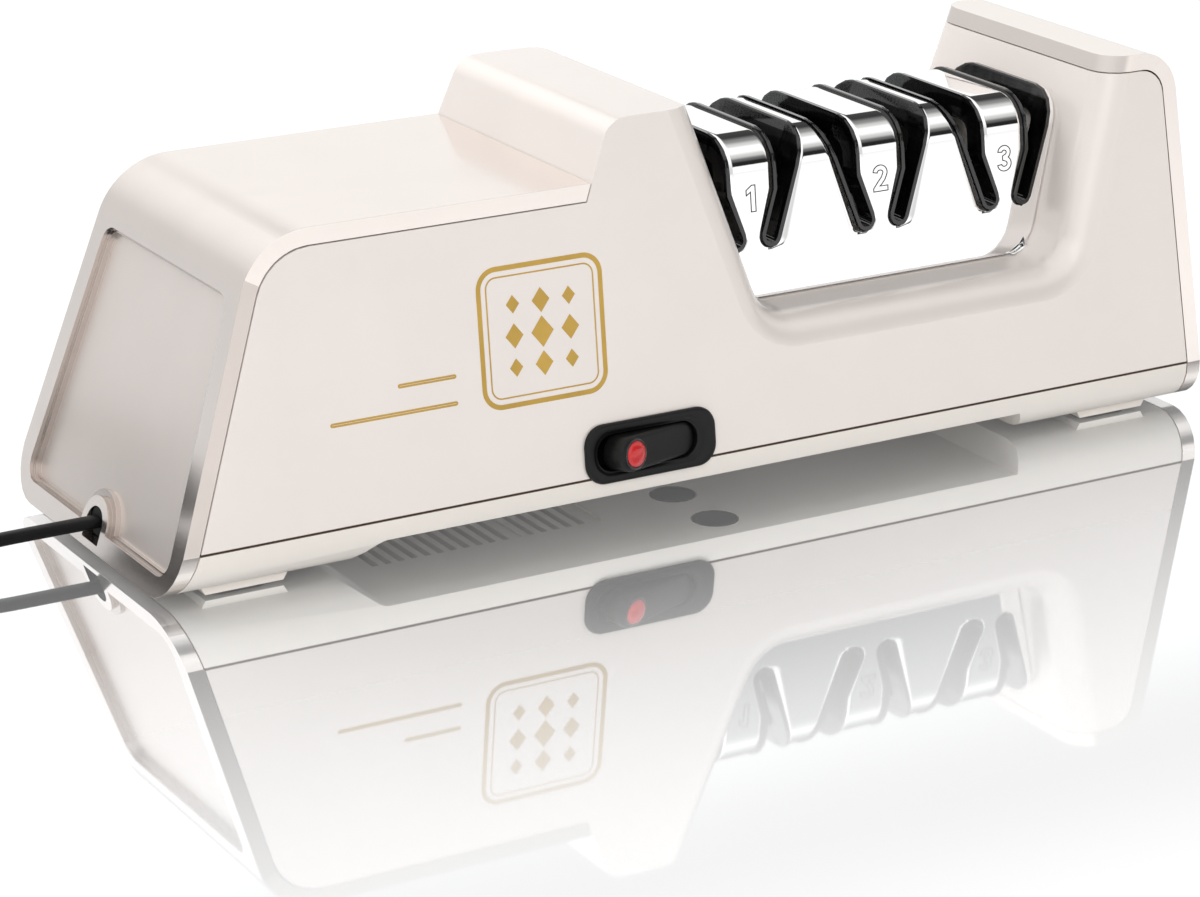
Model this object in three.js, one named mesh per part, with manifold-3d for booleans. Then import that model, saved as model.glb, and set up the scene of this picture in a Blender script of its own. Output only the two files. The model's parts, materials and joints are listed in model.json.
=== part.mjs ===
// Bench-top electric knife sharpener with three guided stages.
// Millimetres, +Z up. X runs along the body with the motor at -X, the front face looks along -Y.
import * as THREE from "three";
import { mergeVertices, toCreasedNormals } from "three/addons/utils/BufferGeometryUtils.js";
import Module from "manifold-3d";

const wasm = await Module();
wasm.setup();

// Body
const BODY_LENGTH = 270; // between the two wrap covers, at the parting line
const BODY_DEPTH = 90; // at the parting line
const PARTING_Z = 13;
const UNDERSIDE_Z = 1.8;
const DECK_Z = 80.4;
const CREST_Z = 94.2;
const BLOCK_Z = 91.2;
const LOWER_EDGE_RADIUS = 11;
const FACE_LEAN_SHARE = 0.12; // inward travel of the front and back faces for each unit of height
const MOTOR_END_LEAN_SHARE = 0.337;
const FAR_END_LEAN_SHARE = 0.08;
const HOUSING_WALL = 2.5;
const SEAM = 0.3; // between fixed neighbours
const PARTING_GAP = 0.4;
const OVERRUN = 8; // how far a cutter runs past what it cuts

// Wrap covers
const WRAP_THICKNESS = 3.9;
const WRAP_CORNER_RADIUS = 18;
const BLOCK_CORNER_RADIUS = 10;
const WRAP_RELIEF_DEPTH = 1.5; // hollowed underneath between its thick rims
const WRAP_RIM_WIDTH = 6;

// Hump and saddle
const HUMP_FOOT_OFFSET = 88.9; // from the middle of the saddle to the foot of the hump
const HUMP_LEAN_SHARE = 0.383;
const HUMP_CORNER_RADIUS = 6.5;
const CREST_EDGE_RADIUS = 3;
const SADDLE_INSET = 78.4; // from the far end to the middle of the saddle
const SADDLE_FLOOR_LENGTH = 85.3;
const SADDLE_FLOOR_Z = 42;
const SADDLE_MOTOR_LEAN_SHARE = 0.345;
const SADDLE_FAR_LEAN_SHARE = 0.29;
const SADDLE_CORNER_RADIUS = 10;
const SADDLE_EDGE_RADIUS = 7;

// Guide module in the saddle
const GUIDE_TOP_Z = 80.3;
const GUIDE_FOOT_HALF_DEPTH = 25.2;
const GUIDE_TOP_RADIUS = 9;
const GUIDE_SHEET = 1.5;
const GUIDE_FOOT_GAP = 0.4;
const INSERT_SHEET = 1.5;
const INSERT_FOOT_Z = 48;
const STAGE_SHIFT = -0.4; // of the middle stage from the middle of the saddle
const STAGE_PITCH = 36.6;
const STAGE_COUNT = 3;
const SLOT_TIP_OFFSET = 4.8;
const SLOT_TIP_Z = 56.7;
const SLOT_OUTER_RADIUS = 2.6;
const SLOT_LEAN_SHARE = 0.365;
const SLOT_ISLAND_HALF = 6.05;
const RIM_WIDTH = 0.9;
const RIM_PROUD = 0.5;
const RIM_DEPTH = 5.5;
const RIM_FIT = 0.2;
const END_FACE_DROP_X = 1.1; // the guide cover's end sheet stops this far short of the first wheel

// Base pan
const BASE_WALL = 2.4;
const RECESS_Z = 7.7;
const RECESS_START_INSET = 37; // from the motor end
const RECESS_RAMP = 8;
const RECESS_STOP_INSET = 50.5; // from the far end
const RECESS_STOP_RAMP = 3.5;
const RECESS_CORNER_RADIUS = 4;
const VENT_COUNT = 17;
const VENT_INSET = 55; // from the motor end to the first vent
const VENT_PITCH = 3.44;
const VENT_WIDTH = 1.7;
const VENT_LENGTH = 36;
const VENT_PANEL_MARGIN = 4;
const VENT_PANEL_DEPTH = 0.8;
const VENT_PANEL_RADIUS = 5;
const PLUG_DISC_RADIUS = 5.55;
const PLUG_DISC_THICKNESS = 1.5;
const PLUG_DISC_OFFSET = 1; // beyond the bearing beside the motor
const PLUG_DISC_SIDE_INSET = 12.6; // of the front disc, from the side of the body
const PLUG_DISC_MIDDLE_Y = -13.1;
const FOOT_LENGTH = 19;
const FOOT_DEPTH = 15;
const FOOT_SIDE_INSET = 8; // from the side of the body
const FOOT_Z = 0.5;
const FOOT_FLARE = 2.2;
const MOTOR_FOOT_INSET = 14; // from the motor end to the middle of its feet
const FAR_FOOT_INSET = 17.3; // from the far end to the middle of its feet
const PAD_LENGTH = 14;
const PAD_DEPTH = 10;
const PAD_HEIGHT = 2;
const PAD_RADIUS = 2.5;
const BOSS_RADIUS = 4;
const BOSS_BORE_RADIUS = 1.6;
const BOSS_SPLIT_Z = 24;
const CRADLE_THICKNESS = 4;
const CRADLE_TOP_Z = 30;
const CRADLE_MOTOR_INSET = 51; // from the motor end
const CRADLE_FAR_INSET = 10; // from the far end of the motor
const CRADLE_BOARD_GAP = 3;

// Recessed panel of the motor end, and the arched cord hole
const PANEL_TOP_Z = 66.5;
const PANEL_BOTTOM_Z = 6.5;
const PANEL_MARGIN = 5.8;
const PANEL_RADIUS = 4.5;
const PANEL_STEP = 1.3;
const PANEL_LEDGE = 0.9;
const CORD_HOLE_HALF = 4.3;
const CORD_HOLE_FLOOR_Z = 3.4;
const CORD_HOLE_TOP_Z = 11.1;
const ARCH_INNER_RADIUS = 6.8;
const ARCH_OUTER_RADIUS = 8.5;

// Switch
const SWITCH_Z = 18.45;
const BEZEL_OFFSET = 10.9; // beyond the foot of the hump
const BEZEL_LENGTH = 34.8;
const BEZEL_HEIGHT = 14;
const BEZEL_RADIUS = 5;
const BEZEL_PROUD = 1;
const BEZEL_WALL = 0.9;
const BOWL_DEPTH = 0.5;
const BOWL_MARGIN = 1.5;
const ROCKER_OFFSET = 0.9; // from the middle of the bezel
const ROCKER_LENGTH = 24;
const ROCKER_HEIGHT = 8;
const ROCKER_FACE = 5; // from the pivot to the pressed face
const ROCKER_BACK = 1; // from the pivot to the hidden side
const ROCKER_PIVOT_DEPTH = 1.5; // inside the housing's face
const ROCKER_FIT = 0.35;
const ROCKER_REST_ANGLE = THREE.MathUtils.degToRad(17.5);
const WELL_HALF_LENGTH = 13.4;
const WELL_DEPTH = 7;
const WELL_FLOOR = 1.5;
const LENS_RADIUS = 3.25;
const LENS_INSET = 4.2; // from the rocker's end
const LENS_POCKET = 2.2;
const LENS_DOME = 1.1;
const SWITCH_BODY_LENGTH = 25;
const SWITCH_BODY_HEIGHT = 10;
const SWITCH_BODY_DEPTH = 11;
const TERMINAL_WIDTH = 6.3;
const TERMINAL_THICKNESS = 0.8;
const TERMINAL_LENGTH = 7;
const TERMINAL_SPREAD = 8;

// Drive
const AXLE_Z = 35;
const MOTOR_RADIUS = 21;
const MOTOR_ROOM = 43; // from the motor end to the can
const COUPLING_MOTOR_GAP = 10;
const MOTOR_NOSE_RADIUS = 8;
const MOTOR_NOSE_LENGTH = 3;
const END_BELL_RADIUS = 19;
const END_BELL_LENGTH = 9.7;
const SHAFT_RADIUS = 2.5;
const SHAFT_TAIL = 15;
const FAN_LENGTH = 8;
const FAN_RADIUS = 21;
const FAN_HUB_RADIUS = 7;
const FAN_BLADE_COUNT = 8;
const FAN_BLADE_THICKNESS = 1.4;
const FAN_BLADE_PITCH = THREE.MathUtils.degToRad(35);
const FAN_GAP = 2;
const COUPLING_RADIUS = 8;
const COUPLING_LENGTH = 16;
const COUPLING_BEARING_GAP = 9;
const CLAMP_THICKNESS = 1.5;
const CLAMP_WIDTH = 12;
const CLAMP_FLANGE = 6;
const CLAMP_INSET = 51; // from the motor end
const SPINDLE_RADIUS = 3;
const SPINDLE_OVERHANG = 6; // beyond the far bearing's near face
const COLLAR_RADIUS = 6;
const COLLAR_HALF = 0.8;
const BEARING_RADIUS = 8;
const BEARING_WIDTH = 5;
const BEARING_MOTOR_OFFSET = 53.6; // from the middle of the saddle
const BEARING_FAR_OFFSET = 55.4; // from the middle of the saddle
const BRACKET_THICKNESS = 3;
const BRACKET_WIDTH = 30;
const BRACKET_HEAD_RADIUS = 13;
const BRACKET_FOOT = 12;
const BRACKET_FOOT_HEIGHT = 2.5;
const RUN_CLEARANCE = 0.3;

// Abrasive wheels, two for each stage, pushed apart by springs
const WHEEL_RADIUS = 23;
const WHEEL_FACE_OFFSET = 4.3;
const WHEEL_THICKNESS = 2.6;
const WHEEL_CONE = 0.6; // the working face falls back this much at its rim
const HUB_RADIUS = 9;
const HUB_NEAR = 1.2;
const HUB_FAR = 7;
const HUB_POCKET_RADIUS = 6.5;
const HUB_POCKET_DEPTH = 4.6;
const SPRING_MEAN_RADIUS = 4.9;
const SPRING_WIRE_RADIUS = 0.5;
const SPRING_CURLS = 3;
const RING_RADIUS = 5;
const RING_THICKNESS = 0.8;
const RELIEF = 0.8; // room for the hubs under the saddle

// Circuit board
const BOARD_LENGTH = 50;
const BOARD_HEIGHT = 28;
const BOARD_THICKNESS = 1.6;
const BOARD_INSET = 73; // from the motor end to the middle of the board
const BOARD_PLACE_SHARE = 0.4186; // of the room between the motor and the housing
const POST_WIDTH = 6;
const POST_DEPTH = 5;
const POST_HEIGHT = 14;
const POST_GRIP = 2.5;
const CAPACITOR_LENGTH = 18;
const CAPACITOR_DEPTH = 6.5;
const CAPACITOR_HEIGHT = 11;
const CAPACITOR_RISE = 4;
const RECTIFIER_SIZE = 15;
const RECTIFIER_DEPTH = 4;
const RECTIFIER_RISE = 8;

// Cord and plug
const CORD_Z = 7.7;
const CORD_WIDTH = 4.4;
const CORD_HEIGHT = 2.6;
const GROMMET_INSET = 1.2;
const GROMMET_TAIL = 3; // inside the end wall
const GROMMET_FLANGE = 1;
const COIL_X = -200;
const COIL_INNER_RADIUS = 17.6;
const COIL_PITCH = 6;
const COIL_LAYER = 3.3;
const COIL_LAYERS = 4;
const LAYER_TURNS = 2;
const CLIMB_SHARE = 0.12; // of a turn, to either side of each place where the spiral reverses
const PLUG_LENGTH = 34;
const PLUG_WIDTH = 24;
const PLUG_HEIGHT = 15;
const PLUG_RADIUS = 4;
const PLUG_NOSE_WIDTH = 10;
const TAIL_RADIUS = 26; // of the quarter turn that lifts the cord over its coil to the plug
const BLADE_LENGTH = 17;
const BLADE_HEIGHT = 6.3;
const BLADE_THICKNESS = 1.5;
const BLADE_SPREAD = 6.35;

// Facet counts
const CORNER_STEPS = 6;
const FINE_STEPS = 4;
const ROUND_SIDES = 20;
const SMALL_SIDES = 16;
const RING_SIDES = 12;
const LOOP_STEPS = 24;
const CURL_STEPS = 8;
const WIRE_SIDES = 5;
const CREASE_ANGLE = THREE.MathUtils.degToRad(32);

// Places along the body, measured from its two ends
const farEndFoot = BODY_LENGTH / 2;
const motorEndFoot = -farEndFoot;
const saddleCentreX = farEndFoot - SADDLE_INSET;
const humpFootX = saddleCentreX - HUMP_FOOT_OFFSET;
const bearingMotorX = saddleCentreX - BEARING_MOTOR_OFFSET;
const bearingFarX = saddleCentreX + BEARING_FAR_OFFSET;
const recessStopX = farEndFoot - RECESS_STOP_INSET;
const plugDiscX = bearingMotorX + PLUG_DISC_OFFSET;
const farFootX = farEndFoot - FAR_FOOT_INSET;
const bezelMiddleX = humpFootX + BEZEL_OFFSET;
const rockerX = bezelMiddleX - ROCKER_OFFSET;
const couplingFarX = bearingMotorX - COUPLING_BEARING_GAP;
const motorFarX = couplingFarX - COUPLING_LENGTH - COUPLING_MOTOR_GAP;
const spindleFarX = bearingFarX + SPINDLE_OVERHANG;
const recessStartX = motorEndFoot + RECESS_START_INSET;
const ventFirstX = motorEndFoot + VENT_INSET;
const motorFootX = motorEndFoot + MOTOR_FOOT_INSET;
const cradleMotorX = motorEndFoot + CRADLE_MOTOR_INSET;
const clampX = motorEndFoot + CLAMP_INSET;
const boardX = motorEndFoot + BOARD_INSET;
const cradleFarX = motorFarX - CRADLE_FAR_INSET;
const motorX = motorEndFoot + MOTOR_ROOM;
const boardY = MOTOR_RADIUS + BOARD_PLACE_SHARE * (BODY_DEPTH / 2 - HOUSING_WALL - MOTOR_RADIUS);
const footOuterY = BODY_DEPTH / 2 - FOOT_SIDE_INSET;
const cradleHalfDepth = boardY - CRADLE_BOARD_GAP;
const plugDiscFrontY = PLUG_DISC_SIDE_INSET - BODY_DEPTH / 2;

// Solids and outlines

function solidFrom(geometry) {
  const bare = geometry.index ? geometry.clone() : geometry;
  for (const attribute of ["normal", "uv"]) bare.deleteAttribute(attribute);
  const merged = mergeVertices(bare);
  const solid = new wasm.Manifold(
    new wasm.Mesh({
      numProp: 3,
      vertProperties: new Float32Array(merged.attributes.position.array),
      triVerts: new Uint32Array(merged.index.array),
    }),
  );
  return solid;
}

function join(first, ...others) {
  return others.reduce((sum, other) => sum.add(other), first);
}

function cut(first, ...others) {
  return others.reduce((rest, other) => rest.subtract(other), first);
}

function meshFrom(name, solid, look) {
  const { vertProperties, triVerts } = solid.getMesh();
  const geometry = new THREE.BufferGeometry();
  geometry.setAttribute("position", new THREE.BufferAttribute(new Float32Array(vertProperties), 3));
  geometry.setIndex(new THREE.BufferAttribute(new Uint32Array(triVerts), 1));
  return namedMesh(name, geometry, look);
}

function namedMesh(name, geometry, look) {
  const mesh = new THREE.Mesh(toCreasedNormals(geometry, CREASE_ANGLE), new THREE.MeshStandardMaterial(look));
  mesh.name = name;
  return mesh;
}

// An outline from corners [across, up, radius]; a corner with a radius becomes an arc.
function outline(corners, steps = CORNER_STEPS) {
  const points = [];
  corners.forEach(([across, up, radius = 0], index) => {
    const corner = new THREE.Vector2(across, up);
    if (!(radius > 0)) {
      points.push(corner);
      return;
    }
    const before = corners.at(index - 1);
    const after = corners[(index + 1) % corners.length];
    const back = new THREE.Vector2(before[0], before[1]).sub(corner).normalize();
    const ahead = new THREE.Vector2(after[0], after[1]).sub(corner).normalize();
    const half = Math.acos(back.dot(ahead)) / 2;
    const centre = back.clone().add(ahead).normalize();
    centre.multiplyScalar(radius / Math.sin(half)).add(corner);
    const start = back.multiplyScalar(radius / Math.tan(half)).add(corner).sub(centre);
    const end = ahead.multiplyScalar(radius / Math.tan(half)).add(corner).sub(centre);
    const turn = Math.atan2(start.cross(end), start.dot(end));
    for (let step = 0; step <= steps; step += 1) {
      points.push(start.clone().rotateAround(new THREE.Vector2(), (turn * step) / steps).add(centre));
    }
  });
  return points;
}

function prism(points, depth) {
  return new THREE.ExtrudeGeometry(new THREE.Shape(points), { depth, bevelEnabled: false });
}

// Outline in x and z, from one y to another.
function alongY(points, from, to) {
  return prism(points, to - from).rotateX(Math.PI / 2).translate(0, to, 0);
}

// Outline in y and z, from one x to another.
function alongX(points, from, to) {
  const turned = new THREE.Matrix4().makeBasis(
    new THREE.Vector3(0, 1, 0),
    new THREE.Vector3(0, 0, 1),
    new THREE.Vector3(1, 0, 0),
  );
  return prism(points, to - from).applyMatrix4(turned).translate(from, 0, 0);
}

// Outline in x and y, from one z to another.
function alongZ(points, from, to) {
  return prism(points, to - from).translate(0, 0, from);
}

function block(x0, x1, y0, y1, z0, z1) {
  return new THREE.BoxGeometry(x1 - x0, y1 - y0, z1 - z0).translate((x0 + x1) / 2, (y0 + y1) / 2, (z0 + z1) / 2);
}

function roundedRectangle(centreX, centreY, length, width, radius, steps = FINE_STEPS) {
  const x = length / 2;
  const y = width / 2;
  const corners = [
    [centreX - x, centreY - y, radius],
    [centreX + x, centreY - y, radius],
    [centreX + x, centreY + y, radius],
    [centreX - x, centreY + y, radius],
  ];
  return outline(corners, steps);
}

// Revolves a closed profile [radius, along] round a line parallel to x at height AXLE_Z.
function turned(profile, sides = ROUND_SIDES) {
  const points = profile.map(([radius, along]) => new THREE.Vector2(radius, along));
  const onAxis = points[0].x === 0 && points.at(-1).x === 0;
  if (!onAxis) points.push(points[0].clone());
  return outward(new THREE.LatheGeometry(points, sides).rotateZ(-Math.PI / 2).translate(0, 0, AXLE_Z));
}

function rod(radius, from, to, sides = SMALL_SIDES) {
  return new THREE.CylinderGeometry(radius, radius, to - from, sides)
    .rotateZ(-Math.PI / 2)
    .translate((from + to) / 2, 0, AXLE_Z);
}

function upright(radius, x, y, from, to, sides = SMALL_SIDES) {
  return new THREE.CylinderGeometry(radius, radius, to - from, sides)
    .rotateX(Math.PI / 2)
    .translate(x, y, (from + to) / 2);
}

// Rings of as many points each, joined side to side and closed at both ends.
function loft(rings) {
  const count = rings[0].length;
  const positions = rings.flat().flatMap((point) => point.toArray());
  const faces = [];
  for (let ring = 0; ring < rings.length - 1; ring += 1) {
    for (let index = 0; index < count; index += 1) {
      const next = (index + 1) % count;
      const a = ring * count + index;
      const b = ring * count + next;
      faces.push(a, b, b + count, a, b + count, a + count);
    }
  }
  return { positions, faces, count };
}

function closedLoft(rings, capOutline) {
  const { positions, faces, count } = loft(rings);
  const last = (rings.length - 1) * count;
  for (const [a, b, c] of THREE.ShapeUtils.triangulateShape(capOutline, [])) {
    faces.push(a, c, b);
    faces.push(last + a, last + b, last + c);
  }
  const geometry = new THREE.BufferGeometry();
  geometry.setAttribute("position", new THREE.Float32BufferAttribute(positions, 3));
  geometry.setIndex(faces);
  return geometry;
}

// Reference lines

const faceY = (z) => BODY_DEPTH / 2 - FACE_LEAN_SHARE * (z - PARTING_Z);
const motorEndX = (z) => -BODY_LENGTH / 2 + MOTOR_END_LEAN_SHARE * (z - PARTING_Z);
const farEndX = (z) => BODY_LENGTH / 2 - FAR_END_LEAN_SHARE * (z - PARTING_Z);
const humpX = (z) => humpFootX + HUMP_LEAN_SHARE * (z - DECK_Z);
const saddleMotorX = (z) =>
  saddleCentreX - SADDLE_FLOOR_LENGTH / 2 - SADDLE_MOTOR_LEAN_SHARE * (z - SADDLE_FLOOR_Z);
const saddleFarX = (z) =>
  saddleCentreX + SADDLE_FLOOR_LENGTH / 2 + SADDLE_FAR_LEAN_SHARE * (z - SADDLE_FLOOR_Z);
const secant = (share) => Math.hypot(1, share);
const topZ = CREST_Z + OVERRUN;
const sideY = BODY_DEPTH / 2 + OVERRUN;
const stages = Array.from(
  { length: STAGE_COUNT },
  (_, index) => saddleCentreX + STAGE_SHIFT + STAGE_PITCH * (index - (STAGE_COUNT - 1) / 2),
);

// Cross-section of the body, in y and z, moved inwards by inset.
function bodySection(inset, bottom, top) {
  const half = BODY_DEPTH / 2 - inset;
  const lean = inset * (secant(FACE_LEAN_SHARE) - 1);
  const corners = [
    [-half, bottom, bottom < PARTING_Z ? LOWER_EDGE_RADIUS - inset : 0],
    [half, bottom, bottom < PARTING_Z ? LOWER_EDGE_RADIUS - inset : 0],
    [half, PARTING_Z],
    [faceY(top) - inset - lean, top],
    [inset + lean - faceY(top), top],
    [-half, PARTING_Z],
  ];
  return bottom < PARTING_Z ? outline(corners) : outline([corners[0], corners[1], corners[3], corners[4]]);
}

// Upper housing from the front, in x and z, moved inwards by inset.
function housingOutline(inset, bottom) {
  const deck = DECK_Z - WRAP_THICKNESS - SEAM - inset;
  const crest = CREST_Z - inset;
  const blockTop = BLOCK_Z - WRAP_THICKNESS - SEAM - inset;
  const motorX = (z) => motorEndX(z) + (SEAM + inset) * secant(MOTOR_END_LEAN_SHARE);
  const farX = (z) => farEndX(z) - (SEAM + inset) * secant(FAR_END_LEAN_SHARE);
  const sideX = (z) => humpX(z) + inset * secant(HUMP_LEAN_SHARE);
  const wallX = (z) => saddleMotorX(z) - inset * secant(SADDLE_MOTOR_LEAN_SHARE);
  const crestFall = CREST_Z - CREST_EDGE_RADIUS * 2;
  return outline([
    [motorX(bottom), bottom],
    [farX(bottom), bottom],
    [farX(blockTop), blockTop, BLOCK_CORNER_RADIUS - WRAP_THICKNESS - inset],
    [saddleCentreX, blockTop],
    [wallX(crestFall), crestFall],
    [wallX(crest), crest, CREST_EDGE_RADIUS - inset],
    [sideX(crest), crest, HUMP_CORNER_RADIUS - inset],
    [sideX(deck), deck],
    [motorX(deck), deck, WRAP_CORNER_RADIUS - WRAP_THICKNESS - inset],
  ]);
}

// The space over the saddle, in x and z, grown by an offset.
function saddleOutline(offset, floorRadius = SADDLE_CORNER_RADIUS) {
  const floor = SADDLE_FLOOR_Z - offset;
  const motorX = (z) => saddleMotorX(z) - offset * secant(SADDLE_MOTOR_LEAN_SHARE);
  const farX = (z) => saddleFarX(z) + offset * secant(SADDLE_FAR_LEAN_SHARE);
  return outline([
    [motorX(topZ), topZ],
    [motorX(floor), floor, floorRadius + offset],
    [farX(floor), floor, floorRadius + offset],
    [farX(topZ), topZ],
  ]);
}

// The saddle's cutter flares towards the front and back faces, which rounds those edges.
function saddleVoid(grow) {
  const places = [[-OVERRUN, SADDLE_EDGE_RADIUS]];
  for (let step = 0; step <= FINE_STEPS; step += 1) {
    const angle = (Math.PI / 2) * (step / FINE_STEPS);
    const depth = SADDLE_EDGE_RADIUS * (1 - Math.cos(angle));
    places.push([depth, SADDLE_EDGE_RADIUS * (1 - Math.sin(angle))]);
  }
  const ring = (side) => ([depth, flare]) =>
    saddleOutline(flare + grow).map((point) => new THREE.Vector3(point.x, side * (faceY(point.y) - depth), point.y));
  const rings = [...places.map(ring(-1)), ...places.toReversed().map(ring(1))];
  return solidFrom(outward(closedLoft(rings, saddleOutline(SADDLE_EDGE_RADIUS + grow))));
}

// Looks

const PEARL = { color: 0xece6e0, roughness: 0.35, metalness: 0.1 };
const PEARL_BASE = { color: 0xe2dad0, roughness: 0.4, metalness: 0.1 };
const CHAMPAGNE = { color: 0xd8cfc6, roughness: 0.25, metalness: 0.5 };
const CHROME = { color: 0xe8e8e8, roughness: 0.06, metalness: 1 };
const GLOSS_BLACK = { color: 0x0c0c0c, roughness: 0.15, metalness: 0 };
const SATIN_BLACK = { color: 0x232323, roughness: 0.45, metalness: 0 };
const RED_LENS = { color: 0xc8141e, roughness: 0.1, metalness: 0 };
const RUBBER = { color: 0x1a1a1a, roughness: 0.8, metalness: 0 };
const CORD_BLACK = { color: 0x151515, roughness: 0.5, metalness: 0 };
const STEEL = { color: 0xb4b4b4, roughness: 0.3, metalness: 1 };
const ZINC = { color: 0x9a9c9e, roughness: 0.45, metalness: 1 };
const BRASS = { color: 0xb8954a, roughness: 0.3, metalness: 1 };
const NYLON = { color: 0xe6e2d6, roughness: 0.5, metalness: 0 };
const ABRASIVE = { color: 0x7d7a74, roughness: 0.9, metalness: 0.2 };
const BOARD_GREEN = { color: 0x2f5d3a, roughness: 0.6, metalness: 0 };
const CAPACITOR_BLUE = { color: 0x2a4f7a, roughness: 0.4, metalness: 0 };

const sharpener = new THREE.Group();

// Wrap covers, each one band of even thickness bent over its end of the body

function motorCoverBand() {
  const underDeck = DECK_Z - WRAP_THICKNESS;
  return outline([
    [motorEndX(UNDERSIDE_Z) - WRAP_THICKNESS, UNDERSIDE_Z],
    [motorEndX(DECK_Z) - WRAP_THICKNESS, DECK_Z, WRAP_CORNER_RADIUS],
    [humpX(DECK_Z) - SEAM, DECK_Z],
    [humpX(underDeck) - SEAM, underDeck],
    [motorEndX(underDeck), underDeck, WRAP_CORNER_RADIUS - WRAP_THICKNESS],
    [motorEndX(UNDERSIDE_Z), UNDERSIDE_Z],
  ]);
}

function farCoverBand() {
  const underLip = BLOCK_Z - WRAP_THICKNESS;
  const lipX = saddleMotorX(BLOCK_Z) + SADDLE_FLOOR_LENGTH;
  return outline([
    [farEndX(UNDERSIDE_Z) + WRAP_THICKNESS, UNDERSIDE_Z],
    [farEndX(BLOCK_Z) + WRAP_THICKNESS, BLOCK_Z, BLOCK_CORNER_RADIUS],
    [lipX, BLOCK_Z],
    [lipX, underLip],
    [farEndX(underLip), underLip, BLOCK_CORNER_RADIUS - WRAP_THICKNESS],
    [farEndX(UNDERSIDE_Z), UNDERSIDE_Z],
  ]);
}

// A frame on the motor end: its z points out of the end, its y runs up the slope.
const motorEndFrame = new THREE.Matrix4()
  .makeTranslation(motorEndX(PARTING_Z) - WRAP_THICKNESS, 0, PARTING_Z)
  .multiply(
    new THREE.Matrix4().makeBasis(
      new THREE.Vector3(0, -1, 0),
      new THREE.Vector3(MOTOR_END_LEAN_SHARE, 0, 1).normalize(),
      new THREE.Vector3(-1, 0, MOTOR_END_LEAN_SHARE).normalize(),
    ),
  );
const alongEnd = (z) => (z - PARTING_Z) * secant(MOTOR_END_LEAN_SHARE);

function panelOutline(inset) {
  const top = alongEnd(PANEL_TOP_Z) - inset;
  const bottom = alongEnd(PANEL_BOTTOM_Z) + inset;
  const topHalf = faceY(PANEL_TOP_Z) - PANEL_MARGIN - inset;
  const bottomHalf = faceY(PANEL_BOTTOM_Z) - PANEL_MARGIN - inset;
  return outline(
    [
      [-bottomHalf, bottom, PANEL_RADIUS - inset],
      [bottomHalf, bottom, PANEL_RADIUS - inset],
      [topHalf, top, PANEL_RADIUS - inset],
      [-topHalf, top, PANEL_RADIUS - inset],
    ],
    FINE_STEPS,
  );
}

function archOutline(radius) {
  const centre = alongEnd(CORD_HOLE_TOP_Z) - CORD_HOLE_HALF;
  const foot = alongEnd(UNDERSIDE_Z) - OVERRUN;
  return outline([
    [-radius, foot],
    [radius, foot],
    [radius, centre + radius, radius],
    [-radius, centre + radius, radius],
  ]);
}

function cordHoleOutline(inset) {
  const half = CORD_HOLE_HALF - inset;
  const top = CORD_HOLE_TOP_Z - inset;
  const round = half - SEAM;
  return outline([
    [-half, CORD_HOLE_FLOOR_Z + inset, SEAM],
    [half, CORD_HOLE_FLOOR_Z + inset, SEAM],
    [half, top, round],
    [-half, top, round],
  ]);
}

const cordHoleX = motorEndX(UNDERSIDE_Z) - WRAP_THICKNESS - OVERRUN;
const endWallX = (z) => motorEndX(z) + (SEAM + BASE_WALL) * secant(MOTOR_END_LEAN_SHARE);
const cordHole = solidFrom(alongX(cordHoleOutline(0), cordHoleX, endWallX(PARTING_Z) + OVERRUN));

function steppedPanel() {
  const shallow = alongZ(panelOutline(0), -PANEL_STEP, OVERRUN).applyMatrix4(motorEndFrame);
  const deep = alongZ(panelOutline(PANEL_LEDGE), -PANEL_STEP * 2, OVERRUN).applyMatrix4(motorEndFrame);
  const inner = alongZ(archOutline(ARCH_INNER_RADIUS), -OVERRUN, OVERRUN * 2).applyMatrix4(motorEndFrame);
  const outer = alongZ(archOutline(ARCH_OUTER_RADIUS), -OVERRUN, OVERRUN * 2).applyMatrix4(motorEndFrame);
  return join(cut(solidFrom(shallow), solidFrom(inner)), cut(solidFrom(deep), solidFrom(outer)));
}

function motorCover() {
  const section = solidFrom(alongX(bodySection(0, UNDERSIDE_Z, topZ), cordHoleX, saddleCentreX));
  const band = solidFrom(alongY(motorCoverBand(), -sideY, sideY)).intersect(section);
  const reliefHalf = faceY(DECK_Z) - WRAP_RIM_WIDTH;
  const under = DECK_Z - WRAP_THICKNESS;
  const relief = block(
    motorEndX(DECK_Z) + WRAP_CORNER_RADIUS,
    humpX(under) - WRAP_RIM_WIDTH,
    -reliefHalf,
    reliefHalf,
    under - OVERRUN,
    under + WRAP_RELIEF_DEPTH,
  );
  return cut(band, steppedPanel(), cordHole, solidFrom(relief));
}

function farCover(saddle) {
  const section = solidFrom(alongX(bodySection(0, UNDERSIDE_Z, topZ), 0, BODY_LENGTH));
  return cut(solidFrom(alongY(farCoverBand(), -sideY, sideY)).intersect(section), saddle);
}

// Switch, in its own frame on the front face: x along the body, y up the face, z out of it

const switchFrame = new THREE.Group();
switchFrame.position.set(rockerX, -faceY(SWITCH_Z), SWITCH_Z);
switchFrame.rotation.x = Math.atan2(1, FACE_LEAN_SHARE);
switchFrame.updateMatrix();

const wellHeight = ROCKER_HEIGHT + ROCKER_FIT * 2;
const wellOutline = (grow) =>
  roundedRectangle(0, 0, (WELL_HALF_LENGTH + grow) * 2, wellHeight + grow * 2, wellHeight / 2 + grow - SEAM / 2);
const bezelX = bezelMiddleX - rockerX;

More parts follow.
